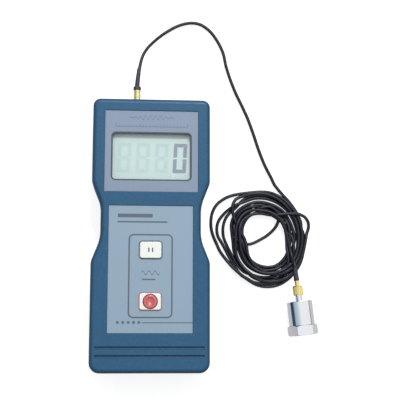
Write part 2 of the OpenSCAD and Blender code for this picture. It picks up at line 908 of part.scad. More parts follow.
module trimmer_body() {
    color([0.2, 0.35, 0.75]) at_trimmer() difference() {
        plate(trimmer_w, trimmer_w, trimmer_h);
        translate([0, 0, trimmer_h - rotor_t - fit_gap]) cylinder(r = rotor_r + fit_gap, h = rotor_t + over);
    }
}

module trimmer_rotor() {
    color([0.85, 0.8, 0.6]) at_trimmer() difference() {
        translate([0, 0, trimmer_h - rotor_t]) cylinder(r = rotor_r, h = rotor_t);
        translate([0, 0, trimmer_h]) cube([2 * rotor_r - slot_w, slot_w, slot_d], center = true);
    }
}

// Socket, plug and the wire to the board

module sensor_jack() {
    color([0.83, 0.68, 0.3]) at_jack() difference() {
        union() {
            translate([0, 0, -wall - jack_tail]) cylinder(r = jack_r, h = wall + jack_tail);
            cylinder(r = jack_flange_r, h = jack_flange_t);
            cylinder(r = jack_snout_r, h = jack_snout_l);
        }
        translate([0, 0, -wall - jack_tail - over])
            cylinder(r = jack_bore_r, h = wall + jack_tail + jack_snout_l + 2 * over);
    }
}

module jack_insulator() {
    color([0.93, 0.93, 0.9]) at_jack()
        pipe(jack_bore_r - fit_gap / 2, contact_r + fit_gap / 2, -wall - jack_tail, jack_snout_l / 2);
}

module jack_contact() {
    color([0.83, 0.68, 0.3]) at_jack() translate([0, 0, -wall - jack_tail - over])
        cylinder(r = contact_r, h = wall + jack_tail + over + jack_snout_l - over);
}

module jack_washer() {
    color([0.75, 0.75, 0.76]) at_jack() pipe(washer_r, jack_r + fit_gap, -wall - washer_t, -wall);
}

module jack_nut() {
    color([0.83, 0.68, 0.3]) at_jack() difference() {
        translate([0, 0, -wall - washer_t - jack_nut_t])
            cylinder(d = jack_nut_af / cos(30), h = jack_nut_t, $fn = 6);
        translate([0, 0, -wall - washer_t - jack_nut_t - over])
            cylinder(r = jack_r + fit_gap, h = jack_nut_t + 2 * over);
    }
}

module jack_wire() {
    y0 = inner_l - jack_tail - over;
    drop = board_back_z - split_z;
    path = [
        [-jack_x, y0, split_z], [-jack_x, y0 - contact_r, split_z],
        [-jack_x, y0 - drop / 2, split_z + drop / 4], [-jack_x, y0 - drop, board_back_z - contact_r],
        [-jack_x, y0 - drop, board_back_z]
    ];
    color([0.15, 0.15, 0.16]) tube(smooth_path(path, 3), contact_r, coil_sides, [1, 0, 0]);
}

module meter_plug() {
    color([0.87, 0.73, 0.35]) at_jack() difference() {
        translate([0, 0, jack_flange_t + plug_play]) cylinder(r = plug_r, h = plug_l);
        translate([0, 0, jack_flange_t - over])
            cylinder(r = plug_bore_r, h = over + plug_play + jack_snout_l - jack_flange_t + plug_play);
    }
}

module plug_sleeve() {
    foot = [-jack_x, half_l + jack_flange_t + plug_play + plug_l, split_z];
    shoulder = foot + [0, boot_l, 0];
    curve = smooth_path(concat([shoulder + [0, boot_step, 0]], sleeve_route,
                               [sleeve_end() - sleeve_heading(), sleeve_end()]), lead_steps);
    last = len(curve) - 1;
    color([0.08, 0.08, 0.1]) tube(concat([foot, shoulder], curve), concat([boot_r, boot_r],
        [for (k = [0 : last]) blend(sleeve_thick, sleeve_thin, k / last)]), lead_sides);
}

// Battery

// Turns +Z to the cell's nub, which faces the head on even cells
module at_cell(k) {
    x = (k - (cell_count - 1) / 2) * cell_pitch;
    even = k % 2 == 0;
    translate([x, even ? box_foot_y : box_head_y, cell_z]) rotate([even ? -90 : 90, 0, 0]) children();
}

module battery_cells() {
    color([0.75, 0.6, 0.25]) for (k = [0 : cell_count - 1]) at_cell(k) {
        translate([0, 0, plate_t + spring_l]) cylinder(d = cell_d, h = cell_l - nub_l);
        translate([0, 0, plate_t + spring_l]) cylinder(r = nub_r, h = cell_l);
    }
}

module battery_springs() {
    steps = 10 * spring_turns;
    room = spring_wire_r + fit_gap / 2;
    path = [for (i = [0 : steps])
        let (share = i / steps, r = blend(spring_foot_r, spring_head_r, share), a = 360 * spring_turns * share)
        [r * cos(a), r * sin(a), plate_t + room + (spring_l - 2 * room) * share]];
    color([0.8, 0.8, 0.78]) for (k = [0 : cell_count - 1]) at_cell(k) tube(path, spring_wire_r, 4);
}

module contact_plate(cell, cells, y) {
    x = (cell + (cells - 1) / 2 - (cell_count - 1) / 2) * cell_pitch;
    w = plate_w + (cells - 1) * cell_pitch;
    translate([x - w / 2, y, cell_z - plate_w / 2]) cube([w, plate_t, plate_w]);
}

module solder_tab(side) {
    x = side * (cell_count - 1) / 2 * cell_pitch;
    translate([x - tab_w / 2, box_head_y - plate_t, cell_z + tab_rise - plate_t / 2])
        cube([tab_w, plate_t + box_wall + over, plate_t]);
}

module battery_plates() {
    color([0.8, 0.8, 0.78]) {
        for (cell = [0, 2]) contact_plate(cell, 2, box_foot_y);
        contact_plate(1, 2, box_head_y - plate_t);
        for (cell = [0, 3]) contact_plate(cell, 1, box_head_y - plate_t);
        for (side = [-1, 1]) solder_tab(side);
    }
}

module battery_wires() {
    y0 = box_head_y + box_wall + over;
    z0 = cell_z + tab_rise;
    rise = board_back_z - z0;
    wire_r = 0.5;
    for (side = [-1, 1]) {
        x = side * (cell_count - 1) / 2 * cell_pitch;
        path = [
            [x, y0, z0], [x, y0 + wire_r, z0], [x, y0 + rise / 3, z0 + rise / 4],
            [x, y0 + rise / 2, board_back_z - wire_r], [x, y0 + rise / 2, board_back_z]
        ];
        color(side > 0 ? [0.75, 0.1, 0.1] : [0.1, 0.1, 0.1]) tube(smooth_path(path, 3), wire_r, 6, [1, 0, 0]);
    }
}

// Cable

function sleeve_end() = lead_route[0];

function sleeve_heading() = unit(lead_route[1] - lead_route[0]) * cable_d;

function coil_share(t) =
    let (q = t / layer_turns) 1 - abs(1 - (q - 2 * floor(q / 2)));

function coil_height(t) =
    cable_d / 2 + layer_rise * (ease(2 * (t - layer_turns) + 0.5) + ease(2 * (t - 2 * layer_turns) + 0.5)
                                + ease(2 * (t - 3 * layer_turns) + 0.5));

function coil_point(t) =
    let (share = coil_share(t), r = blend(coil_r, hole_r, share), a = coil_start_angle - 360 * t)
    [blend(coil_x, hole_x, share) + r * cos(a), blend(coil_y, hole_y, share) + r * sin(a), coil_height(t)];

function coil_heading(a) = [sin(a), -cos(a), 0] * cable_d;

function coil_start() = coil_point(0) - coil_heading(coil_start_angle);

function coil_end() = coil_point(coil_turns) + coil_heading(coil_end_angle);

function coil_path() =
    let (steps = round(coil_turns * coil_steps))
    concat([coil_start()], [for (k = [0 : steps]) coil_point(coil_turns * k / steps)], [coil_end()]);

module cable_lead() {
    last = coil_start();
    path = concat(lead_route, [last - coil_heading(coil_start_angle), last]);
    color([0.09, 0.09, 0.12]) tube(smooth_path(path, lead_steps), cable_d / 2, lead_sides);
}

module cable_coil() {
    path = coil_path();
    apart = round(0.75 * coil_steps);
    echo("least gap of the coil to itself", min([for (i = [0 : len(path) - 1 - apart])
        for (j = [i + apart : len(path) - 1]) norm(path[i] - path[j])]) - cable_d);
    color([0.09, 0.09, 0.12]) tube(path, cable_d / 2, coil_sides);
}

module cable_tail() {
    first = coil_end();
    last = probe_point(sleeve_top_z);
    path = concat([first, first + coil_heading(coil_end_angle)], tail_route,
                  [probe_point(sleeve_top_z + cable_d), last]);
    color([0.09, 0.09, 0.12]) tube(smooth_path(path, lead_steps), cable_d / 2, lead_sides);
}

// Probe

module sensor_sleeve() {
    color([0.08, 0.08, 0.1]) at_probe() translate([0, 0, neck_top_z])
        cylinder(r1 = sleeve_foot_r, r2 = sleeve_head_r, h = sleeve_l);
}

module sensor_plug() {
    color([0.87, 0.73, 0.35]) at_probe() {
        translate([0, 0, thread_top_z + fit_gap]) cylinder(r = neck_r, h = neck_top_z - thread_top_z - fit_gap);
        translate([0, 0, thread_top_z + fit_gap]) cylinder(r = plug_flange_r, h = plug_flange_t);
    }
}

module sensor_nut() {
    color([0.87, 0.73, 0.35]) at_probe() difference() {
        rotate_extrude() polygon([
            [thread_r + thread_play, nut_z], [nut_d / 2 - nut_chamfer / 2, nut_z],
            [nut_d / 2, nut_z + nut_chamfer], [nut_d / 2, nut_top_z - nut_chamfer],
            [nut_d / 2 - nut_chamfer, nut_top_z], [neck_r + slide_gap, nut_top_z],
            [neck_r + slide_gap, nut_top_z - nut_roof], [thread_r + thread_play, nut_top_z - nut_roof]
        ]);
        for (k = [0 : knurl_count - 1])
            rotate([0, 0, 360 * k / knurl_count]) translate([nut_d / 2, 0, (nut_z + nut_top_z) / 2])
                rotate([0, 0, 45]) cube([knurl_w, knurl_w, nut_l - 3 * nut_chamfer], center = true);
    }
}

module sensor_receptacle() {
    color([0.8, 0.8, 0.8]) at_probe() difference() {
        union() {
            translate([0, 0, roof_z - flange_h]) cylinder(r = flange_r, h = flange_h);
            translate([0, 0, roof_z - flange_h]) cylinder(r = thread_r, h = roof_t + flange_h);
            translate([0, 0, roof_z]) cylinder(r = stub_r, h = thread_top_z - roof_z);
            translate([0, 0, stub_top_z]) cylinder(r = thread_r, h = thread_l);
        }
        translate([0, 0, roof_z - flange_h - over])
            cylinder(r = insulator_r + fit_gap / 2, h = thread_top_z - roof_z + flange_h + 2 * over);
    }
}

module receptacle_insulator() {
    color([0.93, 0.93, 0.9]) at_probe() {
        translate([0, 0, roof_z - flange_h]) cylinder(r = insulator_r, h = thread_top_z - roof_z + flange_h - over);
        translate([0, 0, roof_z - flange_h - over / 2]) cylinder(r = contact_r, h = over);
    }
}

module sensor_housing() {
    color([0.82, 0.83, 0.84]) at_probe() difference() {
        translate([0, 0, hex_l]) cylinder(d = probe_d, h = probe_l);
        translate([0, 0, hex_l - over]) cylinder(r = probe_d / 2 - probe_wall, h = over + roof_z - hex_l);
        cylinder(r = thread_r + fit_gap / 2, h = body_top_z + over);
    }
}

module sensor_base() {
    corner_r = hex_af / 2 / cos(30);
    color([0.85, 0.85, 0.86]) at_probe() difference() {
        union() {
            intersection() {
                cylinder(r = corner_r, h = hex_l, $fn = 6);
                rotate_extrude() polygon([
                    [0, 0], [hex_af / 2, 0], [corner_r, foot_chamfer], [corner_r, hex_l - foot_chamfer],
                    [hex_af / 2, hex_l], [0, hex_l]
                ]);
            }
            translate([0, 0, hex_l - over]) cylinder(r = spigot_r, h = over + spigot_h);
            translate([0, 0, hex_l]) cylinder(r = spin_r, h = preload_z + preload_t + fit_gap - hex_l);
        }
        translate([0, 0, -over]) cylinder(r = mount_r, h = over + mount_l);
    }
}

module piezo_discs() {
    color([0.9, 0.86, 0.72]) at_probe() {
        pipe(disc_r, disc_bore_r, disc_z, disc_z + disc_t);
        pipe(disc_r, disc_bore_r, upper_disc_z, upper_disc_z + disc_t);
    }
}

module piezo_electrode() {
    color([0.8, 0.65, 0.3]) at_probe() {
        pipe(disc_r, disc_bore_r, electrode_z, upper_disc_z);
        translate([disc_r - contact_r, -contact_r, electrode_z])
            cube([mass_r + contact_r - disc_r + contact_r, 2 * contact_r, electrode_t]);
    }
}

module seismic_mass() {
    color([0.6, 0.6, 0.62]) at_probe() pipe(mass_r, disc_bore_r, mass_z, preload_z);
}

module preload_nut() {
    color([0.75, 0.75, 0.76]) at_probe() difference() {
        translate([0, 0, preload_z]) cylinder(d = preload_af / cos(30), h = preload_t, $fn = 6);
        translate([0, 0, preload_z - over]) cylinder(r = spin_r + fit_gap / 2, h = preload_t + 2 * over);
    }
}

module pickup_wire() {
    wire_r = 0.25;
    x = mass_r + contact_r;
    z0 = electrode_z + electrode_t;
    z1 = roof_z - flange_h - over / 2;
    turn_z = preload_z + preload_t / 2;
    path = [
        [x, 0, z0], [x, 0, z0 + wire_r], [x, 0, (z0 + turn_z) / 2], [x, 0, turn_z],
        [x / 2, 0, (turn_z + z1) / 2 + wire_r], [0, 0, z1 - wire_r], [0, 0, z1]
    ];
    color([0.7, 0.1, 0.1]) at_probe() tube(smooth_path(path, 3), wire_r, 6, [0, 1, 0]);
}

front_case();
rear_case();
battery_cover();
case_screws();
display_label();
key_label();
lcd_window();
lcd_glass();
lcd_frame();
lcd_reflector();
zebra_strips();
main_board();
board_screws();
hold_key();
hold_plunger();
hold_switch();
power_key();
power_plunger();
power_switch();
microcontroller();
amplifier_chips();
converter_chip();
crystal();
capacitors();
chip_resistors();
trimmer_body();
trimmer_rotor();
sensor_jack();
jack_insulator();
jack_contact();
jack_washer();
jack_nut();
jack_wire();
battery_cells();
battery_springs();
battery_plates();
battery_wires();
meter_plug();
plug_sleeve();
cable_lead();
cable_coil();
cable_tail();
sensor_sleeve();
sensor_plug();
sensor_nut();
sensor_receptacle();
receptacle_insulator();
sensor_housing();
sensor_base();
piezo_discs();
piezo_electrode();
seismic_mass();
preload_nut();
pickup_wire();
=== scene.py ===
import math

import bmesh
import bpy
import numpy as np
from mathutils import Euler, Matrix, Vector


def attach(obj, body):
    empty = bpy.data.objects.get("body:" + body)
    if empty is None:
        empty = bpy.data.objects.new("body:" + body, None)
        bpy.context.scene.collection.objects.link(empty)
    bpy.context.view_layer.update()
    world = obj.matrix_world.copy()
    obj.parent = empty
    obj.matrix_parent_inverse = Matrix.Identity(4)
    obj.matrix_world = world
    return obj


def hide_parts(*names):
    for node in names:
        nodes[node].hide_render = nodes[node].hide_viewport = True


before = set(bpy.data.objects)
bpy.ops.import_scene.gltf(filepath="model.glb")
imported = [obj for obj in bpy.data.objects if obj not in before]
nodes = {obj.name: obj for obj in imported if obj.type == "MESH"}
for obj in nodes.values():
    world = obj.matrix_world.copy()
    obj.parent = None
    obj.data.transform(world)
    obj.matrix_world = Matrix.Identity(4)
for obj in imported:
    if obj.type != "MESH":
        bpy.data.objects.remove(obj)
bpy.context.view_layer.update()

scene = bpy.context.scene
scene.view_settings.view_transform = "Standard"

# Shapes are modelled in millimetres and scaled to metres when a piece is finished
mm = 0.001


def placed(name, data):
    thing = bpy.data.objects.new(name, data)
    scene.collection.objects.link(thing)
    return thing


# Camera, looking down on the table from the foot end; its aim is in millimetres
cameraView = {"aim": (30.9, 23.9, 0), "distance": 550, "tiltX": 8.12, "tiltY": 4.21, "roll": 0.1,
              "lens": 79.38, "sensor": 36}


def makeCamera():
    c = cameraView
    lens = bpy.data.cameras.new("camera")
    lens.sensor_width, lens.lens = c["sensor"], c["lens"]
    back = Vector((-math.tan(math.radians(c["tiltY"])), -math.tan(math.radians(c["tiltX"])), 1)).normalized()
    right = Vector((0, 1, 0)).cross(back).normalized()
    up = back.cross(right)
    turned = Matrix((right, up, back)).transposed() @ Matrix.Rotation(math.radians(c["roll"]), 3, "Z")
    eye = (Vector(c["aim"]) + back * c["distance"]) * mm
    camera = placed("camera", lens)
    camera.matrix_world = Matrix.Translation(eye) @ turned.to_4x4()
    scene.camera = camera


makeCamera()

# The cable's route in millimetres: out of the meter's plug, down to the table and round to the coil
cable = {
    "diameter": 2.0,
    "spacing": 1.5,
    "lead": [
        (-7.8, 103.6, 13.3), (-7.4, 105.6, 13), (-6.6, 109.5, 12.2), (-5.2, 113.7, 11),
        (-2.7, 118.3, 9), (1, 123.1, 6.5), (5.6, 128, 4), (10.1, 131.8, 2.3), (15.2, 135.2, 1.3),
        (20.4, 137.3, 1), (25.5, 138.1, 1), (30.6, 137.3, 1), (35.6, 134.2, 1), (39.6, 129.8, 1),
        (43.4, 123.5, 1), (45.8, 117.5, 1), (47.2, 110.5, 1), (49.8, 102, 1), (53.4, 92.6, 1),
        (57.4, 84.2, 1), (61.2, 75.6, 1), (64.8, 65.4, 1), (67.7, 56.4, 1), (71.4, 46.8, 1),
        (75.4, 38.8, 1), (79, 31.8, 1)],
    "pileHeight": 25,      # height that the last lap starts its fall from
    "tail": [46.0, 43.0, 40.6],   # last points, up the probe's axis from its foot
}

# The coil seen from above: its edges about a centre, at even angles clockwise from the first,
# and what each lap does. A lap is a share at each of four angles (0 on the outer edge, 1 on the
# inner one) or a stretch given point by point.
coil = {
    "centre": (70.5, -1.0),
    "firstAngle": 60,      # degrees, where the edges' radii start
    "apart": 30,           # degrees between them
    "outer": [29.4, 27.5, 26.3, 27.4, 29.0, 29.2, 26.4, 25.6, 22.4, 25.0, 30.2, 31.0],
    "inner": [16.8, 15.8, 15.9, 17.5, 18.8, 17.9, 16.9, 14.6, 14.2, 17.6, 18.3, 17.2],
    "laps": [
        (50, [0.10, 0.25, 0.35, 0.45]),
        (50, [0.60, 0.80, 0.90, 0.95]),
        (50, [0.90, 0.62, 0.28]),
        [(46.8, -3.8), (44.4, 2.4), (44.8, 10.2), (48.7, 17)],
        (110, [0.12]), (50, [0.18, 0.05, 0.02]),
        [(45.3, -4.8), (41.2, 1.0), (40.3, 6.2), (41.5, 11.1), (45.3, 15.5), (49.2, 18.5)],
        (110, [0.25]), (50, [0.32, 0.50, 0.80, 0.70]),
        (50, [0.72, 0.95, 1.0, 0.85]), (105, [0.70]),
        [(74.3, 21.2), (78.6, 18.6), (81, 14.3), (80.6, 9.8), (77.8, 5.6), (73.4, 1.7), (68.5, -1.2),
         (62.7, -4.2), (57.4, -4.4), (53.4, -1.2), (51.6, 4)],
        (140, [0.45]), (95, [0.72]), (50, [0.85]),
        [(86.0, 0.5), (85.6, -5.5), (86.2, -11), (86.3, -16.5), (84.3, -22.8), (80.5, -27.6)],
        (-100, [0.02]), (-125, [0.0]),
        [(44.3, -10.1), (41, -3.9), (37.9, 3), (36.9, 9.1), (37.6, 15.9), (40.5, 21.5), (45.4, 25.2),
         (50.5, 27.2), (58, 28.3)],
        (85, [0.0]), (50, [0.05, 0.30]), (-85, [0.7]), (-115, [0.97]),
        [(59.3, -10.9), (58.3, -4.2), (56.4, 0.6), (54, 5.4), (51.6, 11.7), (50.2, 17), (50.7, 21.9),
         (53.5, 25.6)],
        (100, [0.10]), (50, [0.25, 0.55, 0.80, 0.90]),
        (95, [1.0]),
        [(76.5, 14.4), (81.9, 15.2), (89.2, 16), (94.5, 15.6), (98.6, 14), (100.7, 10.7), (99.6, 7.2),
         (97, 2.5)],
        (-15, [0.12]), (-40, [0.15, 0.40, 0.65]),
        (50, [0.93]),
        [(85.4, 2.6), (86.3, -3.5), (87.6, -10)],
    ],
    "quarter": 90,         # degrees between the shares of a lap
    "step": 15,            # degrees between the points filled in
    "onward": 10,          # degrees that a lap starts beyond the last one's end, at least
    "handBack": 120,       # degrees that a listed point may lie behind the last one
}

# How the probe lies on the table: middle of its foot, and its turn from +Y
probe = {"foot": (93.4, -59.2, 8), "turn": 6.5}


def probePoint(height):
    a = math.radians(probe["turn"])
    x, y, z = probe["foot"]
    return x - height * math.sin(a), y + height * math.cos(a), z


def between(a, b, c, d, t):
    # smooth value between b and c
    return (2 * b + (c - a) * t + (2 * a - 5 * b + 4 * c - d) * t ** 2 + (3 * b - a - 3 * c + d) * t ** 3) / 2


def edgeRadius(table, angle):
    place = (coil["firstAngle"] - angle) / coil["apart"] % len(table)
    k = int(place)
    return between(*(table[(k + j) % len(table)] for j in (-1, 0, 1, 2)), place - k)


def lapPoint(angle, share):
    r = edgeRadius(coil["outer"], angle) * (1 - share) + edgeRadius(coil["inner"], angle) * share
    a = math.radians(angle)
    return coil["centre"][0] + r * math.cos(a), coil["centre"][1] + r * math.sin(a)


def lapKeys():
    # every lap as (angle, share, spot), its angle running on clockwise
    keys = []
    turned = None
    for lap in coil["laps"]:
        if isinstance(lap, tuple):
            angle = lap[0]
            while turned is not None and angle > turned - coil["onward"]:
                angle -= 360
            for share in lap[1]:
                keys.append((angle, share, None))
                turned = angle
                angle -= coil["quarter"]
            continue
        for x, y in lap:
            a = math.degrees(math.atan2(y - coil["centre"][1], x - coil["centre"][0]))
            while turned is not None and a > turned + coil["handBack"]:
                a -= 360
            while turned is not None and a < turned + coil["handBack"] - 360:
                a += 360
            keys.append((a, None, (x, y)))
            turned = a
    return keys


def planPoints():
    # the coil from above: shares are filled in every few degrees, listed points go in as they are
    keys = lapKeys()
    points = []
    for k, (angle, share, spot) in enumerate(keys):
        if spot:
            points.append(spot)
            continue
        points.append(lapPoint(angle, share))
        if k + 1 < len(keys) and keys[k + 1][1] is not None:
            nextAngle, nextShare, _ = keys[k + 1]
            before = keys[k - 1][1] if k and keys[k - 1][1] is not None else share
            after = keys[k + 2][1] if k + 2 < len(keys) and keys[k + 2][1] is not None else nextShare
            steps = max(1, round((angle - nextAngle) / coil["step"]))
            for j in range(1, steps):
                t = j / steps
                points.append(lapPoint(angle + (nextAngle - angle) * t,
                                       between(before, share, nextShare, after, t)))
    return points


def smoothLine(points, spacing, samples=12):
    # a smooth curve through the points, cut into equal steps
    p = np.array(points, float)
    p = np.vstack([2 * p[0] - p[1], p, 2 * p[-1] - p[-2]])
    t = np.linspace(0, 1, samples, endpoint=False)[:, None]
    fine = np.vstack([between(a, b, c, d, t) for a, b, c, d in zip(p[:-3], p[1:-2], p[2:-1], p[3:])]
                     + [p[-2][None]])
    along = np.concatenate([[0], np.cumsum(np.linalg.norm(np.diff(fine, axis=0), axis=1))])
    wanted = np.linspace(0, along[-1], round(along[-1] / spacing) + 1)
    return np.column_stack([np.interp(wanted, along, fine[:, k]) for k in range(3)])


settleBy = {
    "rounds": 420, "quickRounds": 60,
    "sink": 0.12, "pull": 0.10, "stiff": 0.5,   # fall, pull to the plan and stiffness in a round
    "calm": 60, "calmSink": 0.03, "calmPull": 0.02, "calmStiff": 0.3,   # the same in the last rounds
    "ends": 6,                                  # points over which a held end comes free
    "searchEvery": 8, "reach": 2.4, "skip": 5,  # how often strands are paired, how near, how far along
    "passes": 4, "slip": 0.35, "least": 0.05, "ease": 0.6,   # how crossing strands part in a round
    "bend": 5.0, "bendRounds": 60, "bendSpread": 5,          # bends tighter than this open up
}


def eased(p, free, share):
    # a stiff cable's bend: each point moves towards the mean of its neighbours
    wide = p.copy()
    wide[2:-2] = (p[:-4] + 2 * p[1:-3] + 2 * p[2:-2] + 2 * p[3:-1] + p[4:]) / 8
    return p + share * free[:, None] * (wide - p)


def nearPairs(p, reach):
    # pairs of points that lie within reach of each other, some way along the cable
    skip = settleBy["skip"]
    near = [np.flatnonzero((np.abs(p[i + skip:] - p[i]) < reach).all(axis=1)) + i + skip
            for i in range(len(p) - skip)]
    return np.repeat(np.arange(len(near)), [len(x) for x in near]), np.concatenate(near)


def settle(line, leadCount, tailCount):
    # lets the wound cable sink until it lies on the table and on itself
    s, d = settleBy, cable["diameter"]
    flatPlan = line * (1, 1, 0)
    p = line.copy()
    n, ends = len(p), s["ends"]
    free = np.ones(n)
    free[:leadCount] = 0
    free[n - tailCount:] = 0
    free[leadCount:leadCount + ends] = np.linspace(0, 1, ends + 1)[1:]
    free[n - tailCount - ends:n - tailCount] = np.linspace(1, 0, ends + 1)[:-1]
    rounds = s["rounds"]
    for r in range(rounds):
        calm = r > rounds - s["calm"]
        if r % s["searchEvery"] == 0:
            one, two = nearPairs(p, s["reach"] * d)
        p[:, 2] -= s["calmSink" if calm else "sink"] * free * (p[:, 2] > d / 2)
        p[:, :2] += (s["calmPull" if calm else "pull"] * free)[:, None] * (line[:, :2] - p[:, :2])
        p = flatPlan + eased(p - flatPlan, free, s["stiff"])
        if calm:
            p = eased(p, free, s["calmStiff"])
        for _ in range(s["passes"]):
            p = parted(p, one, two, free, d)
    return straightened(p, free)


def parted(p, one, two, free, d):
    # strands closer than a diameter move apart: upwards where they cross, sideways where they lie abreast
    s = settleBy
    v = p[two] - p[one]
    far = np.linalg.norm(v, axis=1)
    hit = far < d
    a, b, v, far = one[hit], two[hit], v[hit], far[hit]
    shift = (0.5 * (d - far) / np.maximum(far, s["least"]))[:, None] * v
    flat = np.abs(v[:, 2]) / np.maximum(far, s["least"])
    shift[:, :2] *= (1 - flat + s["slip"] * flat)[:, None]
    total = np.zeros_like(p)
    count = np.zeros(len(p))
    for ends, move in ((a, -shift), (b, shift)):
        np.add.at(total, ends, move)
        np.add.at(count, ends, 1)
    p = p + total / np.maximum(count, 1)[:, None] ** s["ease"] * free[:, None]
    p[:, 2] = np.where(free > 0, np.maximum(p[:, 2], d / 2), p[:, 2])
    return p


def straightened(p, free):
    # opens the bends that are tighter than the cable allows
    s = settleBy
    for _ in range(s["bendRounds"]):
        step = np.linalg.norm(p[2:] - p[:-2], axis=1) / 2
        bend = np.linalg.norm(p[:-2] - 2 * p[1:-1] + p[2:], axis=1) / step ** 2
        tight = np.clip(bend * s["bend"] - 1, 0, 1)
        wide = np.convolve(tight, np.ones(s["bendSpread"]), "same").clip(0, 1)
        mean = (p[:-2] + p[2:]) / 2
        p[1:-1] += 0.5 * (wide * free[1:-1])[:, None] * (mean - p[1:-1])
    return p


def cableLine():
    plan = planPoints()
    heights = [cable["diameter"] / 2 + cable["pileHeight"] * k / len(plan) for k in range(len(plan))]
    lead = smoothLine(cable["lead"], cable["spacing"])
    tail = [probePoint(h) for h in cable["tail"]]
    route = cable["lead"] + [(x, y, z) for (x, y), z in zip(plan, heights)] + tail
    return settle(smoothLine(route, cable["spacing"]), len(lead) - 2, len(tail))


# Materials: small helpers, then the shared effects, then one material for each finish

def paint(r, g, b):
    # a colour picked from a swatch, 0 to 255, as light
    def light(v):
        v /= 255
        return v / 12.92 if v <= 0.04045 else ((v + 0.055) / 1.055) ** 2.4
    return light(r), light(g), light(b), 1.0


def fill(tree, node, inputs):
    # gives a node's inputs their values or links
    for key, value in inputs.items():
        if isinstance(value, bpy.types.NodeSocket):
            tree.links.new(value, node.inputs[key])
        else:
            node.inputs[key].default_value = value


def put(tree, kind, inputs=None, **settings):
    # adds a node with its settings and inputs
    node = tree.nodes.new("ShaderNode" + kind)
    for key, value in settings.items():
        setattr(node, key, value)
    fill(tree, node, inputs or {})
    return node


def startGroup(name, takes, gives):
    group = bpy.data.node_groups.new(name, "ShaderNodeTree")
    for label, kind, value in takes:
        item = group.interface.new_socket(name=label, in_out="INPUT", socket_type="NodeSocket" + kind)
        if value is not None:
            item.default_value = value
    for label, kind in gives:
        group.interface.new_socket(name=label, in_out="OUTPUT", socket_type="NodeSocket" + kind)
    return group, group.nodes.new("NodeGroupInput").outputs, group.nodes.new("NodeGroupOutput")


def calc(tree, operation, *values):
    return put(tree, "Math", dict(enumerate(values)), operation=operation).outputs[0]


def noise(tree, place, scale, detail=2.0):
    return put(tree, "TexNoise", {"Vector": place, "Scale": scale, "Detail": detail}).outputs["Fac"]


def spread(tree, value, low, high, to=(0.0, 1.0)):
    # a value between low and high, spread over another range
    return put(tree, "MapRange", {"Value": value, "From Min": low, "From Max": high, "To Min": to[0],
                                  "To Max": to[1]}).outputs["Result"]


def toned(tree, colour, value, saturation=1.0):
    return put(tree, "HueSaturation", {"Color": colour, "Value": value,
                                       "Saturation": saturation}).outputs["Color"]


def stretched(tree, place, factors):
    return put(tree, "VectorMath", {0: place, 1: factors}, operation="MULTIPLY").outputs[0]


def blend(tree, factor, first, second):
    # mixes two colours: inputs 6 and 7 and output 2 are the ones for colour
    return put(tree, "Mix", {"Factor": factor, 6: first, 7: second}, data_type="RGBA").outputs[2]


def ramp(tree, value, stops):
    node = put(tree, "ValToRGB", {"Fac": value})
    ends = node.color_ramp.elements
    for k, (position, colour) in enumerate(stops):
        stop = ends[k] if k < 2 else ends.new(position)
        stop.position, stop.color = position, (*colour, 1)
    return node.outputs["Color"]


def swing(tree, value, amount, centre):
    # a noise value turned into centre plus or minus amount
    around = calc(tree, "SUBTRACT", value, 0.5)
    return calc(tree, "MULTIPLY_ADD", around, calc(tree, "MULTIPLY", amount, 2.0), centre)


# The shared effects: scales count per metre, and sizes are in millimetres
effects = {
    "edge": {"radius": 0.5, "flat": 0.99, "sharp": 0.8},
    "moulded": {"broad": 34.0, "smear": 150.0, "smearRun": (1.0, 0.16, 1.0), "glossSwing": 0.09,
                "rubbedValue": 1.7, "rubbedSaturation": 0.8},
    "metal": {"broad": 260.0, "lineRun": (0.02, 0.02, 1.0), "broadGloss": 0.05, "lineGloss": 0.04},
    "dust": {"specks": 700.0, "bare": 0.45, "full": 0.75, "colour": (190, 190, 188)},
    # rim: painted shade, darker by height in the grooves of the face and on its rounded rim
    "rim": {"low": 24, "high": 28.1, "tones": ((0.0, 0.95), (0.35, 0.72), (0.8, 0.6), (0.96, 1.0))},
}


skinTakes = [("Place", "Vector", None), ("Colour", "Color", None)]
skinGives = [("Colour", "Color"), ("Roughness", "Float"), ("Height", "Float")]


def makeEdgeRub():
    # how near an edge is, from the rounded and the true normal
    e = effects["edge"]
    group, _, out = startGroup("edgeRub", [], [("Mask", "Float")])
    soft = put(group, "Bevel", {"Radius": e["radius"] * mm}, samples=4).outputs["Normal"]
    true = put(group, "NewGeometry").outputs["Normal"]
    same = put(group, "VectorMath", {0: soft, 1: true}, operation="DOT_PRODUCT").outputs["Value"]
    fill(group, out, {"Mask": spread(group, same, e["flat"], e["sharp"])})
    return group


def makeMouldedSkin(edgeRub):
    # spark-eroded plastic: fine grain, slow colour drift, smeared gloss and rubbed edges
    e = effects["moulded"]
    group, take, out = startGroup("mouldedSkin", skinTakes + [
        ("Grain", "Float", 2600.0), ("Drift", "Float", 0.05), ("Gloss", "Float", 0.42),
        ("Rub", "Float", 0.15)], skinGives)
    broad = noise(group, take["Place"], e["broad"], detail=3.0)
    fine = noise(group, take["Place"], take["Grain"])
    smear = noise(group, stretched(group, take["Place"], e["smearRun"]), e["smear"], detail=4.0)
    value = swing(group, broad, take["Drift"], swing(group, fine, take["Drift"], 1.0))
    whole = toned(group, take["Colour"], value)
    mask = put(group, "Group", node_tree=edgeRub).outputs["Mask"]
    patchy = calc(group, "MULTIPLY", mask, calc(group, "MULTIPLY", take["Rub"], smear))
    rubbed = toned(group, whole, e["rubbedValue"], e["rubbedSaturation"])
    fill(group, out, {"Colour": blend(group, patchy, whole, rubbed), "Height": fine,
                      "Roughness": swing(group, smear, e["glossSwing"], take["Gloss"])})
    return group


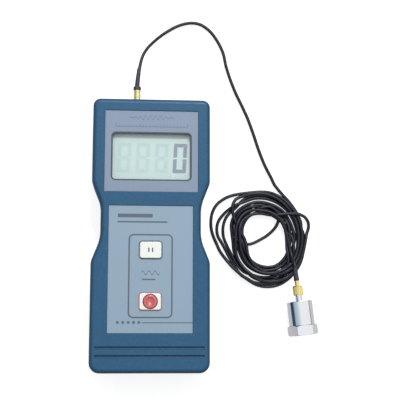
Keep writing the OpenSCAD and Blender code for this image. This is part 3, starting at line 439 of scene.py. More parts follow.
def makeMetalSkin():
    # turned or plated metal: tool lines across the local Z axis, slight stain
    e = effects["metal"]
    group, take, out = startGroup("metalSkin", skinTakes + [
        ("Lines", "Float", 5200.0), ("Stain", "Float", 0.06), ("Gloss", "Float", 0.22)], skinGives)
    lines = noise(group, stretched(group, take["Place"], e["lineRun"]), take["Lines"])
    broad = noise(group, take["Place"], e["broad"], detail=3.0)
    value = swing(group, broad, take["Stain"], swing(group, lines, take["Stain"], 1.0))
    rough = swing(group, broad, e["broadGloss"], swing(group, lines, e["lineGloss"], take["Gloss"]))
    fill(group, out, {"Colour": toned(group, take["Colour"], value), "Roughness": rough, "Height": lines})
    return group


def makeDustFilm():
    # thin handling dust on what faces up
    e = effects["dust"]
    group, take, out = startGroup("dustFilm", skinTakes + [
        ("Roughness", "Float", 0.4), ("Amount", "Float", 0.05)], skinGives[:2])
    normal = put(group, "NewGeometry").outputs["Normal"]
    up = put(group, "SeparateXYZ", {0: normal}).outputs["Z"]
    specks = spread(group, noise(group, take["Place"], e["specks"], detail=5.0), e["bare"], e["full"])
    lying = calc(group, "MULTIPLY", calc(group, "MAXIMUM", up, 0.0), specks)
    amount = calc(group, "MULTIPLY", lying, take["Amount"])
    fill(group, out, {"Colour": blend(group, amount, take["Colour"], paint(*e["colour"])),
                      "Roughness": calc(group, "ADD", take["Roughness"], amount)})
    return group


def makePaintedRimShade():
    # painted shade: a darker colour in the grooves of the face and on its rounded rim, by height
    e = effects["rim"]
    group, take, out = startGroup("paintedRimShade", skinTakes, skinGives[:1])
    height = put(group, "SeparateXYZ", {0: take["Place"]}).outputs["Z"]
    level = spread(group, height, e["low"] * mm, e["high"] * mm)
    tones = ramp(group, level, [(stop, (tone, tone, tone)) for stop, tone in e["tones"]])
    fill(group, out, {"Colour": toned(group, take["Colour"], tones)})
    return group


edgeRub = makeEdgeRub()
mouldedSkin = makeMouldedSkin(edgeRub)
metalSkin = makeMetalSkin()
dustFilm = makeDustFilm()
paintedRimShade = makePaintedRimShade()
print("shared effects made")


def startMaterial(name):
    material = bpy.data.materials.new(name)
    material.use_nodes = True
    tree = material.node_tree
    tree.nodes.clear()
    shader = put(tree, "BsdfPrincipled")
    put(tree, "OutputMaterial", {"Surface": shader.outputs["BSDF"]})
    place = put(tree, "TexCoord").outputs["Object"]
    return material, tree, shader, place


def dressed(tree, shader, skin, depth, dusty=0.0, paintedShade=False):
    # feeds the shader from a skin, through the painted shade of the grooves and rounded rim and a film of
    # dust where there are any
    colour, rough = skin.outputs["Colour"], skin.outputs["Roughness"]
    place = skin.inputs["Place"].links[0].from_socket
    if paintedShade:
        colour = put(tree, "Group", {"Place": place, "Colour": colour}, node_tree=paintedRimShade).outputs["Colour"]
    if dusty:
        film = put(tree, "Group", {"Place": place, "Colour": colour, "Roughness": rough, "Amount": dusty},
                   node_tree=dustFilm)
        colour, rough = film.outputs["Colour"], film.outputs["Roughness"]
    fill(tree, shader, {"Base Color": colour, "Roughness": rough})
    if depth:
        bump = put(tree, "Bump", {"Height": skin.outputs["Height"], "Distance": depth * mm, "Strength": 1.0})
        fill(tree, shader, {"Normal": bump.outputs["Normal"]})


def plastic(name, colour, grain=2600.0, drift=0.05, gloss=0.42, rub=0.15, depth=0.02, dusty=0.0, coat=0.0,
            paintedShade=False, **plain):
    material, tree, shader, place = startMaterial(name)
    skin = put(tree, "Group", {"Place": place, "Colour": paint(*colour), "Grain": grain, "Drift": drift,
                               "Gloss": gloss, "Rub": rub}, node_tree=mouldedSkin)
    dressed(tree, shader, skin, depth, dusty, paintedShade)
    fill(tree, shader, {"Coat Weight": coat, **plain})
    return material


def metal(name, colour, lines=5200.0, stain=0.06, gloss=0.22, depth=0.004, axis=None):
    material, tree, shader, place = startMaterial(name)
    if axis:
        place = put(tree, "Mapping", {"Vector": place, "Location": axis[0], "Rotation": axis[1]},
                    vector_type="TEXTURE").outputs[0]
    skin = put(tree, "Group", {"Place": place, "Colour": paint(*colour), "Lines": lines, "Stain": stain,
                               "Gloss": gloss}, node_tree=metalSkin)
    dressed(tree, shader, skin, depth)
    fill(tree, shader, {"Metallic": 1.0})
    return material


# Where turned parts stand: the probe's axis and the socket's axis, as Z
socket = {"x": -9, "y": 81, "z": 14, "hole": 2.9, "from": -5, "to": 2}
probeAxis = ([v * mm for v in probe["foot"]], Euler((math.radians(-90), 0, math.radians(probe["turn"]))))
socketAxis = ([socket[way] * mm for way in "xyz"], Euler((math.radians(-90), 0, 0)))

# the case has shade painted into the grooves of its face and onto its rounded rim
caseBlue = plastic("caseBlue", (45, 92, 127), grain=3200.0, drift=0.02, gloss=0.4, rub=0.2, depth=0.008,
                   dusty=0.03, paintedShade=True, **{"Specular IOR Level": 0.25})
sheetLook = {"grain": 4200.0, "drift": 0.025, "gloss": 0.5, "rub": 0.1, "depth": 0.008, "dusty": 0.06}
displayLabelSheet = plastic("displayLabelSheet", (135, 150, 173), **sheetLook)
keyLabelSheet = plastic("keyLabelSheet", (145, 169, 188), **sheetLook)
inkLook = {"drift": 0.06, "gloss": 0.55, "depth": 0.0}
ringInk = plastic("ringInk", (74, 78, 90), **inkLook)
printedInk = plastic("printedInk", (92, 104, 120), **inkLook)
paleInk = plastic("paleInk", (112, 126, 146), **inkLook)
redInk = plastic("redInk", (190, 128, 140), **inkLook)
displayCell = plastic("displayCell", (208, 229, 225), grain=3000.0, drift=0.02, gloss=0.25, rub=0.0,
                      depth=0.0)
# painted shade: the dark ring round the red disc stands in for the shadowed gap round it
paintedSeatShade = plastic("paintedSeatShade", (104, 56, 58), drift=0.05, gloss=0.4, depth=0.0)
segmentInk = plastic("segmentInk", (134, 148, 165), drift=0.05, gloss=0.3, depth=0.0)
restingInk = plastic("restingInk", (193, 216, 217), drift=0.03, gloss=0.3, depth=0.0)
keyWhite = plastic("keyWhite", (244, 248, 243), drift=0.015, gloss=0.35, rub=0.0, depth=0.01, dusty=0.04)
keyRed = plastic("keyRed", (206, 72, 74), drift=0.04, gloss=0.34, depth=0.008, rub=0.2, coat=1.0,
                 **{"Coat Roughness": 0.18, "Coat IOR": 1.9})
cableJacket = plastic("cableJacket", (20, 22, 36), grain=1500.0, drift=0.1, gloss=0.42, rub=0.0, depth=0.015,
                      dusty=0.03, **{"Specular IOR Level": 0.4})
sleeveRubber = plastic("sleeveRubber", (40, 42, 58), grain=2400.0, drift=0.1, gloss=0.5, depth=0.03,
                       dusty=0.1)
goldPlate = metal("goldPlate", (246, 234, 172), gloss=0.2, axis=socketAxis)
probeGold = metal("probeGold", (255, 230, 148), gloss=0.2, axis=probeAxis)
probeSteel = metal("probeSteel", (232, 234, 238), lines=7000.0, stain=0.04, gloss=0.14, axis=probeAxis)

clearFilm = {"tint": (226, 236, 238), "smudge": 90.0, "gloss": (0.06, 0.16), "alpha": (0.05, 0.09)}


def makeClearWindow():
    c = clearFilm
    material, tree, shader, place = startMaterial("clearWindow")
    smudge = noise(tree, place, c["smudge"], detail=4.0)
    fill(tree, shader, {"Base Color": paint(*c["tint"]),
                        "Roughness": spread(tree, smudge, 0.0, 1.0, c["gloss"]),
                        "Alpha": spread(tree, smudge, 0.0, 1.0, c["alpha"])})
    return material


clearWindow = makeClearWindow()

# The pieces inside keep the shape they came with, and are made of these
innerFinish = [
    (metal("platedSteel", (192, 194, 198), gloss=0.3), "case_screws board_screws crystal jack_washer"
     " battery_springs battery_plates seismic_mass preload_nut"),
    (plastic("blackPlastic", (30, 30, 33), gloss=0.45, dusty=0.05), "lcd_frame hold_plunger power_plunger"
     " hold_switch power_switch microcontroller amplifier_chips converter_chip chip_resistors"),
    (plastic("wireJacket", (34, 34, 36), gloss=0.4), "jack_wire battery_wires pickup_wire"),
    (plastic("ptfeWhite", (236, 236, 230), drift=0.02, gloss=0.4), "jack_insulator receptacle_insulator"),
    (metal("brassTan", (208, 186, 130), gloss=0.3), "trimmer_rotor piezo_electrode"),
    (plastic("foilWhite", (228, 228, 226), gloss=0.3, drift=0.02), "lcd_reflector"),
    (plastic("zebraRubber", (92, 92, 94), grain=900.0, drift=0.25, gloss=0.7), "zebra_strips"),
    (plastic("boardGreen", (26, 96, 56), grain=1200.0, drift=0.1, gloss=0.3), "main_board"),
    (plastic("capSleeve", (38, 50, 112), gloss=0.25), "capacitors"),
    (plastic("trimmerBlue", (50, 90, 190), gloss=0.35), "trimmer_body"),
    (plastic("cellJacket", (170, 132, 62), gloss=0.25, coat=0.4, drift=0.08), "battery_cells"),
    (plastic("ceramicTan", (222, 211, 180), grain=5000.0, gloss=0.6, depth=0.01), "piezo_discs"),
    (goldPlate, "jack_contact jack_nut"), (clearWindow, "lcd_window"), (displayCell, "lcd_glass"),
]
for material, names in innerFinish:
    for name in names.split():
        for materialSlot in nodes[name].material_slots:
            materialSlot.material = material
print("materials made")


def newFaces(bm, before):
    return [f for f in bm.faces if f not in before]


def outward(bm):
    # turns every face outwards
    bmesh.ops.recalc_face_normals(bm, faces=bm.faces)
    return bm


def strung(bm, places):
    # a line through places, as its corners and edges
    points = [bm.verts.new(place) for place in places]
    return points, [bm.edges.new(pair) for pair in zip(points, points[1:])]


def drawOut(bm, made, way):
    # moves the corners that an extrusion has made
    moved = [v for v in made["geom"] if isinstance(v, bmesh.types.BMVert)]
    bmesh.ops.translate(bm, vec=way, verts=moved)


def roundCorners(bm, corners, offset, steps):
    bmesh.ops.bevel(bm, geom=corners, offset=offset, offset_type="OFFSET", segments=steps, profile=0.5,
                    affect="VERTICES", material=-1, clamp_overlap=False)


def roundedFace(bm, width, height, radius, z, centre=(0, 0), steps=6):
    # a flat rectangle with round corners
    before = set(bm.faces)
    spot = Matrix.Translation((*centre, z)) @ Matrix.Diagonal((width, height, 1, 1))
    made = bmesh.ops.create_grid(bm, x_segments=1, y_segments=1, size=0.5, matrix=spot)
    if radius:
        roundCorners(bm, made["verts"], radius, steps)
    return newFaces(bm, before)[0]


def band(bm, one, two):
    # joins the rims of two alike faces, corner to corner
    a, b = list(one.verts), list(two.verts)
    first = min(range(len(b)), key=lambda k: (b[k].co - a[0].co).length)
    b = b[first:] + b[:first]
    for k in range(len(a)):
        bm.faces.new((a[k - 1], a[k], b[k], b[k - 1]))


def loft(bm, faces):
    # joins flat faces, one above the other, into a closed solid
    for lower, upper in zip(faces, faces[1:]):
        band(bm, lower, upper)
    bmesh.ops.delete(bm, geom=faces[1:-1], context="FACES_ONLY")
    return outward(bm)


def stack(levels, width, height, radius, centre=(0, 0), steps=6):
    # a rounded plate whose sides move in by an inset at each height
    bm = bmesh.new()
    return loft(bm, [
        roundedFace(bm, width - 2 * inset, height - 2 * inset, max(radius - inset, 0.02), z, centre, steps)
        for inset, z in levels])


def block(x0, x1, y0, y1, z0, z1):
    bm = bmesh.new()
    middle = Matrix.Translation(((x0 + x1) / 2, (y0 + y1) / 2, (z0 + z1) / 2))
    bmesh.ops.create_cube(bm, size=1, matrix=middle @ Matrix.Diagonal((x1 - x0, y1 - y0, z1 - z0, 1)))
    return bm


def rod(radius, z0, z1, at=Matrix.Identity(4), steps=48):
    bm = bmesh.new()
    spot = at @ Matrix.Translation((0, 0, (z0 + z1) / 2))
    bmesh.ops.create_cone(bm, cap_ends=True, segments=steps, radius1=radius, radius2=radius, depth=z1 - z0,
                          matrix=spot)
    return bm


# Millimetres within which corners count as one
merge = {"spun": 0.0005, "finished": 0.0008}


def spun(profile, at=Matrix.Identity(4), steps=64):
    # turns (radius, height) points about Z; a profile that starts off the axis closes on itself, as a ring
    bm = bmesh.new()
    points, wires = strung(bm, [(r, 0, z) for r, z in profile])
    if profile[0][0]:
        wires.append(bm.edges.new((points[-1], points[0])))
    bmesh.ops.spin(bm, geom=points + wires, axis=(0, 0, 1), cent=(0, 0, 0), angle=math.tau, steps=steps,
                   use_merge=True)
    bmesh.ops.remove_doubles(bm, verts=bm.verts, dist=merge["spun"])
    outward(bm)
    bmesh.ops.transform(bm, matrix=at, verts=bm.verts)
    return bm


def arcLevels(radius, z, steps, rising=True):
    # insets and heights that round the edge of a face at z
    turns = [math.pi / 2 * k / steps for k in range(steps + 1)]
    side = 1 if rising else -1
    levels = [(radius * (1 - math.cos(a)), z - side * radius * (1 - math.sin(a))) for a in turns]
    return levels if rising else levels[::-1]


def meshObject(name, bm):
    # turns a shape into an object, and uses it up
    mesh = bpy.data.meshes.new(name)
    bm.to_mesh(mesh)
    bm.free()
    return placed(name, mesh)


def carve(bm, how, *tools):
    # cuts, joins or trims a shape with others, and uses them up
    work, *helpers = (meshObject("work", shape) for shape in (bm, *tools))
    for helper in helpers:
        step = work.modifiers.new("carve", "BOOLEAN")
        step.operation, step.solver, step.object = how, "EXACT", helper
    done = work.evaluated_get(bpy.context.evaluated_depsgraph_get())
    result = bmesh.new()
    result.from_mesh(done.to_mesh())
    done.to_mesh_clear()
    for thing in (work, *helpers):
        bpy.data.meshes.remove(thing.data)
    return result


def thickened(bm, thickness):
    # gives every flat face a thickness upwards
    drawOut(bm, bmesh.ops.extrude_face_region(bm, geom=list(bm.faces)), (0, 0, thickness))
    return outward(bm)


def finished(name, bm, material, slotName, body="meter", replaces=(), sharp=32):
    # smooths the round faces, scales to metres and hands the piece to the frame
    bmesh.ops.remove_doubles(bm, verts=bm.verts, dist=merge["finished"])
    bmesh.ops.dissolve_degenerate(bm, edges=bm.edges, dist=merge["finished"])
    bmesh.ops.scale(bm, vec=(mm, mm, mm), verts=bm.verts)
    for face in bm.faces:
        face.smooth = True
        face.material_index = 0
    for edge in bm.edges:
        edge.smooth = len(edge.link_faces) == 2 and edge.calc_face_angle(0) < math.radians(sharp)
    piece = meshObject(name, bm)
    piece.data.materials.append(material)
    piece.modifiers.new("evenShading", "WEIGHTED_NORMAL").keep_sharp = True
    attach(piece, body)
    if replaces:
        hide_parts(*replaces)
    return piece


# Case: an outline with a waist, rounded at both faces, split half way up
caseShape = {
    "halfLength": 81, "halfWidth": 35, "halfWaist": 29.6, "wall": 2.2, "thickness": 28, "split": 14,
    "edgeRadius": 3, "edgeSteps": 8, "topCorner": 4.5, "footCorner": 6,
    "cornerSteps": 8, "shoulderSteps": 4,
    "shoulderRadius": 8, "waistRadius": 22, "shoulderAngle": 22, "shoulderRun": 19.197,
    "waistTop": 12.5, "waistFoot": 1.0, "innerTop": 25.8,
    "seamDepth": 0.3, "seamHeight": 0.25, "seamLip": 0.1, "lipHeight": 0.15, "lipInset": 0.12,
}


def caseFace(bm, inset, z):
    # the outline drawn in by an inset, as one flat face: straight lines, then a round at each corner
    c = caseShape
    lean = math.tan(math.radians(c["shoulderAngle"] / 2))
    side, waist, end = c["halfWidth"] - inset, c["halfWaist"] - inset, c["halfLength"] - inset
    shoulder, hollow = (c["shoulderRadius"] - inset) * lean, (c["waistRadius"] + inset) * lean
    foot, top = c["waistFoot"], c["waistTop"]
    right = [
        (side, -end, c["footCorner"] - inset), (side, foot - c["shoulderRun"] + shoulder, shoulder),
        (waist, foot - hollow, hollow), (waist, top + hollow, hollow),
        (side, top + c["shoulderRun"] - shoulder, shoulder), (side, end, c["topCorner"] - inset)]
    points = right + [(-x, y, r) for x, y, r in right[::-1]]
    before = set(bm.faces)
    corners = [bm.verts.new((x, y, z)) for x, y, _ in points]
    bm.faces.new(corners)
    for offset in sorted({r for _, _, r in points}):
        chosen = [v for v, (_, _, r) in zip(corners, points) if r == offset]
        roundCorners(bm, chosen, offset, c["shoulderSteps" if offset == shoulder else "cornerSteps"])
    return newFaces(bm, before)[0]


def caseSlab(levels):
    bm = bmesh.new()
    return loft(bm, [caseFace(bm, inset, z) for inset, z in levels])


labels = {
    "recess": 0.9, "recessCorner": 0.35, "gap": 0.1, "flare": 0.14,
    "thickness": 0.4, "corner": 0.3, "edge": 0.06, "cornerSteps": 3,
    "display": {"width": 55.4, "height": 48.9, "y": 49.05},
    "keys": {"width": 49.5, "height": 74.4, "y": -20.9},
}
labelBase = caseShape["thickness"] - labels["recess"]
labelTop = labelBase + labels["thickness"]
view = {"width": 46.2, "height": 27.6, "y": 45.9, "radius": 1.8, "lip": 0.1}
keys = {
    "width": 12.5, "height": 9.6, "radius": 1.4, "gap": 0.25, "holdY": -9.889, "powerY": -39.872,
    "footZ": 24.55, "flange": 1.0, "flangeT": 1.1, "topZ": 28.5, "round": 0.45, "roundSteps": 5,
    "cutFrom": 20,
    "bars": {"x": (-1.1, 1.1), "width": 0.8, "height": 2.6, "radius": 0.2},
    "discR": 3.85, "discRise": 0.35, "discRound": 0.3, "discDrop": 0.1, "pocketZ": 27.2, "discGap": 0.03,
    "dish": [(0, -1.13), (0.35, -1.09), (0.8, -0.96), (1.25, -0.83), (1.7, -0.7), (2.0, -0.62), (2.2, -0.4),
             (2.35, -0.14), (2.5, 0), (3.0, -0.02), (3.3, -0.06)],
    "seatLap": 0.02, "seatW": 0.6, "seatT": 0.08, "seatSink": 0.05,
}
grooves = {"pitch": 4.9, "gap": 9.6, "width": 1.9, "depth": 0.8, "length": 63.4}
bosses = {"x": 28.8, "y": 74.8, "radius": 3.3, "well": 2.3, "flare": 0.15, "seatZ": 7, "hole": 1.35}
over = 1.0   # how far a cutting shape runs past what it cuts


def recessTool(size):
    # cuts a label recess whose top edge is broken by a small flare
    face, flare = caseShape["thickness"], labels["flare"]
    levels = [(0, labelBase), (0, face - flare), (-flare, face), (-flare - over, face + over)]
    grow = 2 * labels["gap"]
    return stack(levels, size["width"] + grow, size["height"] + grow, labels["recessCorner"],
                 (0, size["y"]), labels["cornerSteps"])


def viewTool():
    lip = view["lip"]
    levels = [(0, caseShape["innerTop"] - over), (0, labelBase - lip), (-lip, labelBase),
              (-lip, labelBase + 2 * over)]
    return stack(levels, view["width"], view["height"], view["radius"], (0, view["y"]))


def keyTools():
    grow = 2 * keys["gap"]
    levels = [(0, keys["cutFrom"]), (0, caseShape["thickness"] + over)]
    return [stack(levels, keys["width"] + grow, keys["height"] + grow, keys["radius"] + keys["gap"], (0, y))
            for y in (keys["holdY"], keys["powerY"])]


def grooveTool(k):
    g = grooves
    radius = (g["width"] ** 2 / 4 + g["depth"] ** 2) / (2 * g["depth"])
    y = -caseShape["halfLength"] + g["gap"] + k * g["pitch"]
    at = Matrix.Translation((0, y, caseShape["thickness"] - g["depth"] + radius))
    across = at @ Matrix.Rotation(math.pi / 2, 4, "Y")
    return rod(radius, -g["length"] / 2, g["length"] / 2, across, steps=64)


socketPlace = Matrix.Translation([socket[way] for way in "xyz"]) @ Matrix.Rotation(-math.pi / 2, 4, "X")


def socketTool():
    return rod(socket["hole"], socket["from"], socket["to"], socketPlace)


def makeFrontCase():
    c = caseShape
    s, d = c["split"], c["seamDepth"]
    levels = [(d, s), (d, s + c["seamHeight"]), (c["seamLip"], s + c["seamHeight"]), (0, s + 2 * d)]
    levels += arcLevels(c["edgeRadius"], c["thickness"], c["edgeSteps"])
    hollow = caseSlab([(c["wall"], s - over), (c["wall"], c["innerTop"])])
    tools = [hollow, recessTool(labels["display"]), recessTool(labels["keys"]), viewTool(),
             *keyTools(), grooveTool(0), grooveTool(1), socketTool()]
    return finished("front_case_shell", carve(caseSlab(levels), "DIFFERENCE", *tools), caseBlue, "case",
                    replaces=["front_case"])


battery = {
    "width": 43.6, "length": 50.1, "footY": -73.3, "wall": 1.2, "rail": 2.4, "railH": 1.6, "clear": 0.1,
    "ceiling": 12.9, "top": 14.1, "coverHalf": 22.4, "coverHead": -20.2, "coverGap": 0.15,
    "tongue": 1.1, "tongueT": 1.0, "tongueFoot": 6.5,
    "ridges": 5, "ridgeL": 16, "ridgeW": 1.0, "ridgePitch": 2.2, "ridgeGap": 7, "ridgeCorner": 0.45,
    "ridgeLevels": [(-0.2, -0.2), (0, 0), (0.15, 0.5)],
}


def atBosses(shape):
    b = bosses
    return [shape(Matrix.Translation((x * b["x"], y * b["y"], 0))) for x in (-1, 1) for y in (-1, 1)]


def backLevels():
    c = caseShape
    return arcLevels(c["edgeRadius"], 0, c["edgeSteps"], rising=False)


def makeRearCase():
    c, b, s = caseShape, battery, bosses
    wall, split, end = c["wall"], c["split"], -c["halfLength"] - over
    outline = caseSlab(backLevels() + [(0, split - c["lipHeight"]), (c["lipInset"], split)])
    shell = carve(outline, "DIFFERENCE", caseSlab([(wall, wall), (wall, split + over)]))
    foot, head = b["footY"], b["footY"] + b["length"]
    half, w = b["width"] / 2, b["wall"]
    rail = half + w + b["rail"]
    box = block(-half - w, half + w, foot - w, head + w, wall - over, b["top"])
    rails = block(-rail, rail, foot - w, head + w, wall - over, wall + b["railH"])
    posts = atBosses(lambda at: rod(s["radius"], wall / 2, split, at))
    shell = carve(shell, "UNION", box, rails, *posts)
    reach, mouth = b["coverHalf"] + b["coverGap"], b["coverHead"] + b["coverGap"]
    slide, clear = reach + b["tongue"], b["clear"]
    r, brim = s["well"], s["well"] + s["flare"]
    well = [(0, -over), (brim, -over), (brim, 0), (r, s["flare"]), (r, s["seatZ"]), (s["hole"], s["seatZ"]),
            (s["hole"], split + over), (0, split + over)]
    tools = [
        block(-half, half, foot, head, wall - b["tongueT"] - over, b["ceiling"]),
        block(-reach, reach, end, mouth, -over, wall + clear),
        block(-slide, slide, end, mouth, wall - b["tongueT"] - clear, wall + clear),
        socketTool(), *atBosses(lambda at: spun(well, at, steps=48))]
    return finished("rear_case_shell", carve(shell, "DIFFERENCE", *tools), caseBlue, "case",
                    replaces=["rear_case"])


def makeBatteryCover():
    c, b = caseShape, battery
    half, head, foot = b["coverHalf"], b["coverHead"], -c["halfLength"]
    bar = block(-half, half, foot - over, head, -over, c["wall"])
    cover = carve(caseSlab(backLevels()), "INTERSECT", bar)
    wide = half + b["tongue"]
    tongue = block(-wide, wide, foot + b["tongueFoot"], head, c["wall"] - b["tongueT"], c["wall"])
    cover = carve(cover, "UNION", tongue)
    first = head - b["ridgeGap"] + b["ridgeW"] / 2
    places = [(0, first - k * b["ridgePitch"]) for k in range(b["ridges"])]
    ridges = [stack(b["ridgeLevels"], b["ridgeL"], b["ridgeW"], b["ridgeCorner"], at, steps=4)
              for at in places]
    return finished("battery_cover_shell", carve(cover, "DIFFERENCE", *ridges), caseBlue, "case",
                    body="battery_door", replaces=["battery_cover"])


makeFrontCase()
makeRearCase()
makeBatteryCover()
print("case made")


# Labels: thin sheets in their recesses, with plain printed lines and marks. An x with two values is a
# line's ends.
printed = {
    "inkT": 0.03, "viewRing": 0.9, "viewLap": 0.12, "keyRing": 0.52, "keyLap": 0.05,
    "frame": {"width": 26, "height": 49, "y": -25, "radius": 3, "line": 0.9},
    "rule": {"x": (-4.6, 24.75), "y": -52.05, "line": 0.55},
    "fadingWave": {"x": (-13.6, 13.6), "y": 69.3, "rise": 1.35, "waves": 9, "line": 0.5, "fade": True},
    "scaleLine": {"x": (-21.5, 21.5), "y": 63.7, "line": 0.4},
    "scaleMarks": {"x": (-21.3, 21.3), "count": 22, "every": 7, "tall": 1.9, "low": 1.1, "line": 0.42,
                   "lift": 0.004},
    "headLines": [{"x": (-19.4, 1.0), "y": 10.3, "line": 2.2}, {"x": (-19.5, 9.6), "y": 6.6, "line": 0.9}],
    "smallWave": {"x": (-5.4, 5.4), "y": -23.2, "rise": 1.1, "waves": 3, "line": 0.6},
    "waveLine": {"x": (-4.9, 2.9), "y": -27.1, "line": 0.8},
    "dots": {"x": -18.8, "y": -51.9, "pitch": 3.1, "count": 5, "size": 1.7, "radius": 0.8},
}


def labelSheet(name, node, size, openings, material):
    levels = [(0, labelBase), (0, labelTop - labels["edge"]), (labels["edge"], labelTop)]
    plate = stack(levels, size["width"], size["height"], labels["corner"], (0, size["y"]),
                  labels["cornerSteps"])
    return finished(name, carve(plate, "DIFFERENCE", *openings), material, node, replaces=[node])


def ringPrint(bm, width, height, radius, line, y):
    # a flat printed line that follows a rounded rectangle, its outer edge given
    outer = roundedFace(bm, width, height, radius, labelTop, (0, y))
    inner = roundedFace(bm, width - 2 * line, height - 2 * line, radius - line, labelTop, (0, y))
    band(bm, outer, inner)
    bmesh.ops.delete(bm, geom=[outer, inner], context="FACES_ONLY")


def linePrint(bm, x, y, line):
    return roundedFace(bm, x[1] - x[0], line, 0, labelTop, ((x[0] + x[1]) / 2, y))


def wavePrint(bm, x, y, rise, waves, line, fade=False, perWave=16):
    # a printed wave: a line of points, drawn out into a ribbon
    places = []
    for k in range(perWave * waves + 1):
        t = k / (perWave * waves)
        size = rise * (math.sin(math.pi * t) if fade else 1)
        height = y - line / 2 + size * math.sin(math.tau * waves * t)
        places.append((x[0] + (x[1] - x[0]) * t, height, labelTop))
    drawOut(bm, bmesh.ops.extrude_edge_only(bm, edges=strung(bm, places)[1]), (0, line, 0))


def inked(name, bm, ink, slotName, **how):
    return finished(name, thickened(bm, printed["inkT"]), ink, slotName, **how)


def makeDisplayPrints():
    bm = bmesh.new()
    line, p = printed["viewRing"], printed
    ringPrint(bm, view["width"] + 2 * line, view["height"] + 2 * line, view["radius"] + line,
              line - p["viewLap"], view["y"])
    inked("display_outline", bm, ringInk, "display_label")

    # a fading vibration over a row of scale marks
    bm = bmesh.new()
    wavePrint(bm, **p["fadingWave"])
    linePrint(bm, **p["scaleLine"])
    m = p["scaleMarks"]
    for k in range(m["count"]):
        x = m["x"][0] + k * (m["x"][1] - m["x"][0]) / (m["count"] - 1)
        tall = m["low"] if k % m["every"] else m["tall"]
        roundedFace(bm, m["line"], tall, 0, labelTop + m["lift"], (x, p["scaleLine"]["y"] + tall / 2))
    inked("display_marks", bm, paleInk, "display_label")


def makeKeyPrints():
    p = printed
    bm = bmesh.new()
    f = p["frame"]
    ringPrint(bm, f["width"], f["height"], f["radius"], f["line"], f["y"])
    linePrint(bm, **p["rule"])
    inked("key_frame", bm, printedInk, "key_label")

    # two lines at the head of the key label, a small wave between the keys and a row of dots at its foot
    bm = bmesh.new()
    for line in p["headLines"]:
        linePrint(bm, **line)
    wavePrint(bm, **p["smallWave"])
    linePrint(bm, **p["waveLine"])
    d = p["dots"]
    for k in range(d["count"]):
        roundedFace(bm, d["size"], d["size"], d["radius"], labelTop, (d["x"] + k * d["pitch"], d["y"]))
    inked("key_marks", bm, printedInk, "key_label")

    grow = keys["gap"] + p["keyRing"]
    for name, y, ink in (("hold_key_outline", keys["holdY"], printedInk),
                         ("power_key_outline", keys["powerY"], redInk)):
        bm = bmesh.new()
        ringPrint(bm, keys["width"] + 2 * grow, keys["height"] + 2 * grow, keys["radius"] + grow,
                  p["keyRing"] - p["keyLap"], y)
        inked(name, bm, ink, "key_label")


labelSheet("display_label_sheet", "display_label", labels["display"], [viewTool()], displayLabelSheet)
labelSheet("key_label_sheet", "key_label", labels["keys"], keyTools(), keyLabelSheet)
makeDisplayPrints()
makeKeyPrints()

# Display: a lit nought and the resting digits beside it, lying on the cell
digits = {"z": 24.4, "right": 17.0, "y": 45.35, "width": 8.0, "height": 17.9, "stroke": 2.2, "gap": 0.05,
          "halfGap": 0.5, "round": 0.5, "pitch": 11.1, "slant": 3, "t": 0.03, "resting": 3}


def segment(bm, x0, y0, x1, y1, lean, cuts=(1, 1)):
    # one bar along a side of a digit; its inner side, left or right as lean says, is cut back at 45 degrees
    # at the ends that meet another bar, and the outer corner there is rounded off
    d = digits
    way = Vector((x1 - x0, y1 - y0, 0)).normalized()
    across = Vector((-way.y, way.x, 0)) * d["stroke"] * lean
    gaps = [d["gap"] if cut else d["halfGap"] for cut in cuts]
    a, b = Vector((x0, y0, d["z"])) + way * gaps[0], Vector((x1, y1, d["z"])) - way * gaps[1]
    inner = (b + across - way * d["stroke"] * cuts[1], a + across + way * d["stroke"] * cuts[0])
    corners = [bm.verts.new(p) for p in (a, b, *inner)]
    bm.faces.new(corners)
    outer = [corner for corner, cut in zip(corners, cuts) if cut]
    roundCorners(bm, outer, d["round"], steps=3)


def digit(bm, x, middle):
    d = digits
    w, h, y = d["width"] / 2, d["height"] / 2, d["y"]
    segment(bm, x - w, y + h, x + w, y + h, -1)
    segment(bm, x - w, y - h, x + w, y - h, 1)
    for side in (-1, 1):
        segment(bm, x + side * w, y - h, x + side * w, y, side, (1, 0))
        segment(bm, x + side * w, y, x + side * w, y + h, side, (0, 1))
    if middle:
        roundedFace(bm, d["width"] - 2 * d["stroke"], d["stroke"], 0, d["z"], (x, y))


def makeDigits(name, places, middle, ink):
    d = digits
    bm = bmesh.new()
    for k in places:
        digit(bm, d["right"] - k * d["pitch"], middle)
    for v in bm.verts:
        v.co.x += (v.co.y - d["y"]) * math.tan(math.radians(d["slant"]))
    finished(name, thickened(bm, d["t"]), ink, "display_cell")


makeDigits("lit_digit", [0], False, segmentInk)
makeDigits("resting_digits", range(1, digits["resting"] + 1), True, restingInk)
print("labels and display made")


def keyCap(y):
    k = keys
    shelf = k["footZ"] + k["flangeT"]
    levels = [(-k["flange"], k["footZ"]), (-k["flange"], shelf), (0, shelf)]
    levels += arcLevels(k["round"], k["topZ"], k["roundSteps"])
    return stack(levels, k["width"], k["height"], k["radius"], (0, y))


def makeHoldKey():
    k, b = keys, keys["bars"]
    finished("hold_key_cap", keyCap(k["holdY"]), keyWhite, "white_key", body="hold_button",
             replaces=["hold_key"])
    # two plain bars: held
    bm = bmesh.new()
    for x in b["x"]:
        roundedFace(bm, b["width"], b["height"], b["radius"], k["topZ"], (x, k["holdY"]), steps=3)
    inked("hold_mark", bm, printedInk, "white_key", body="hold_button")


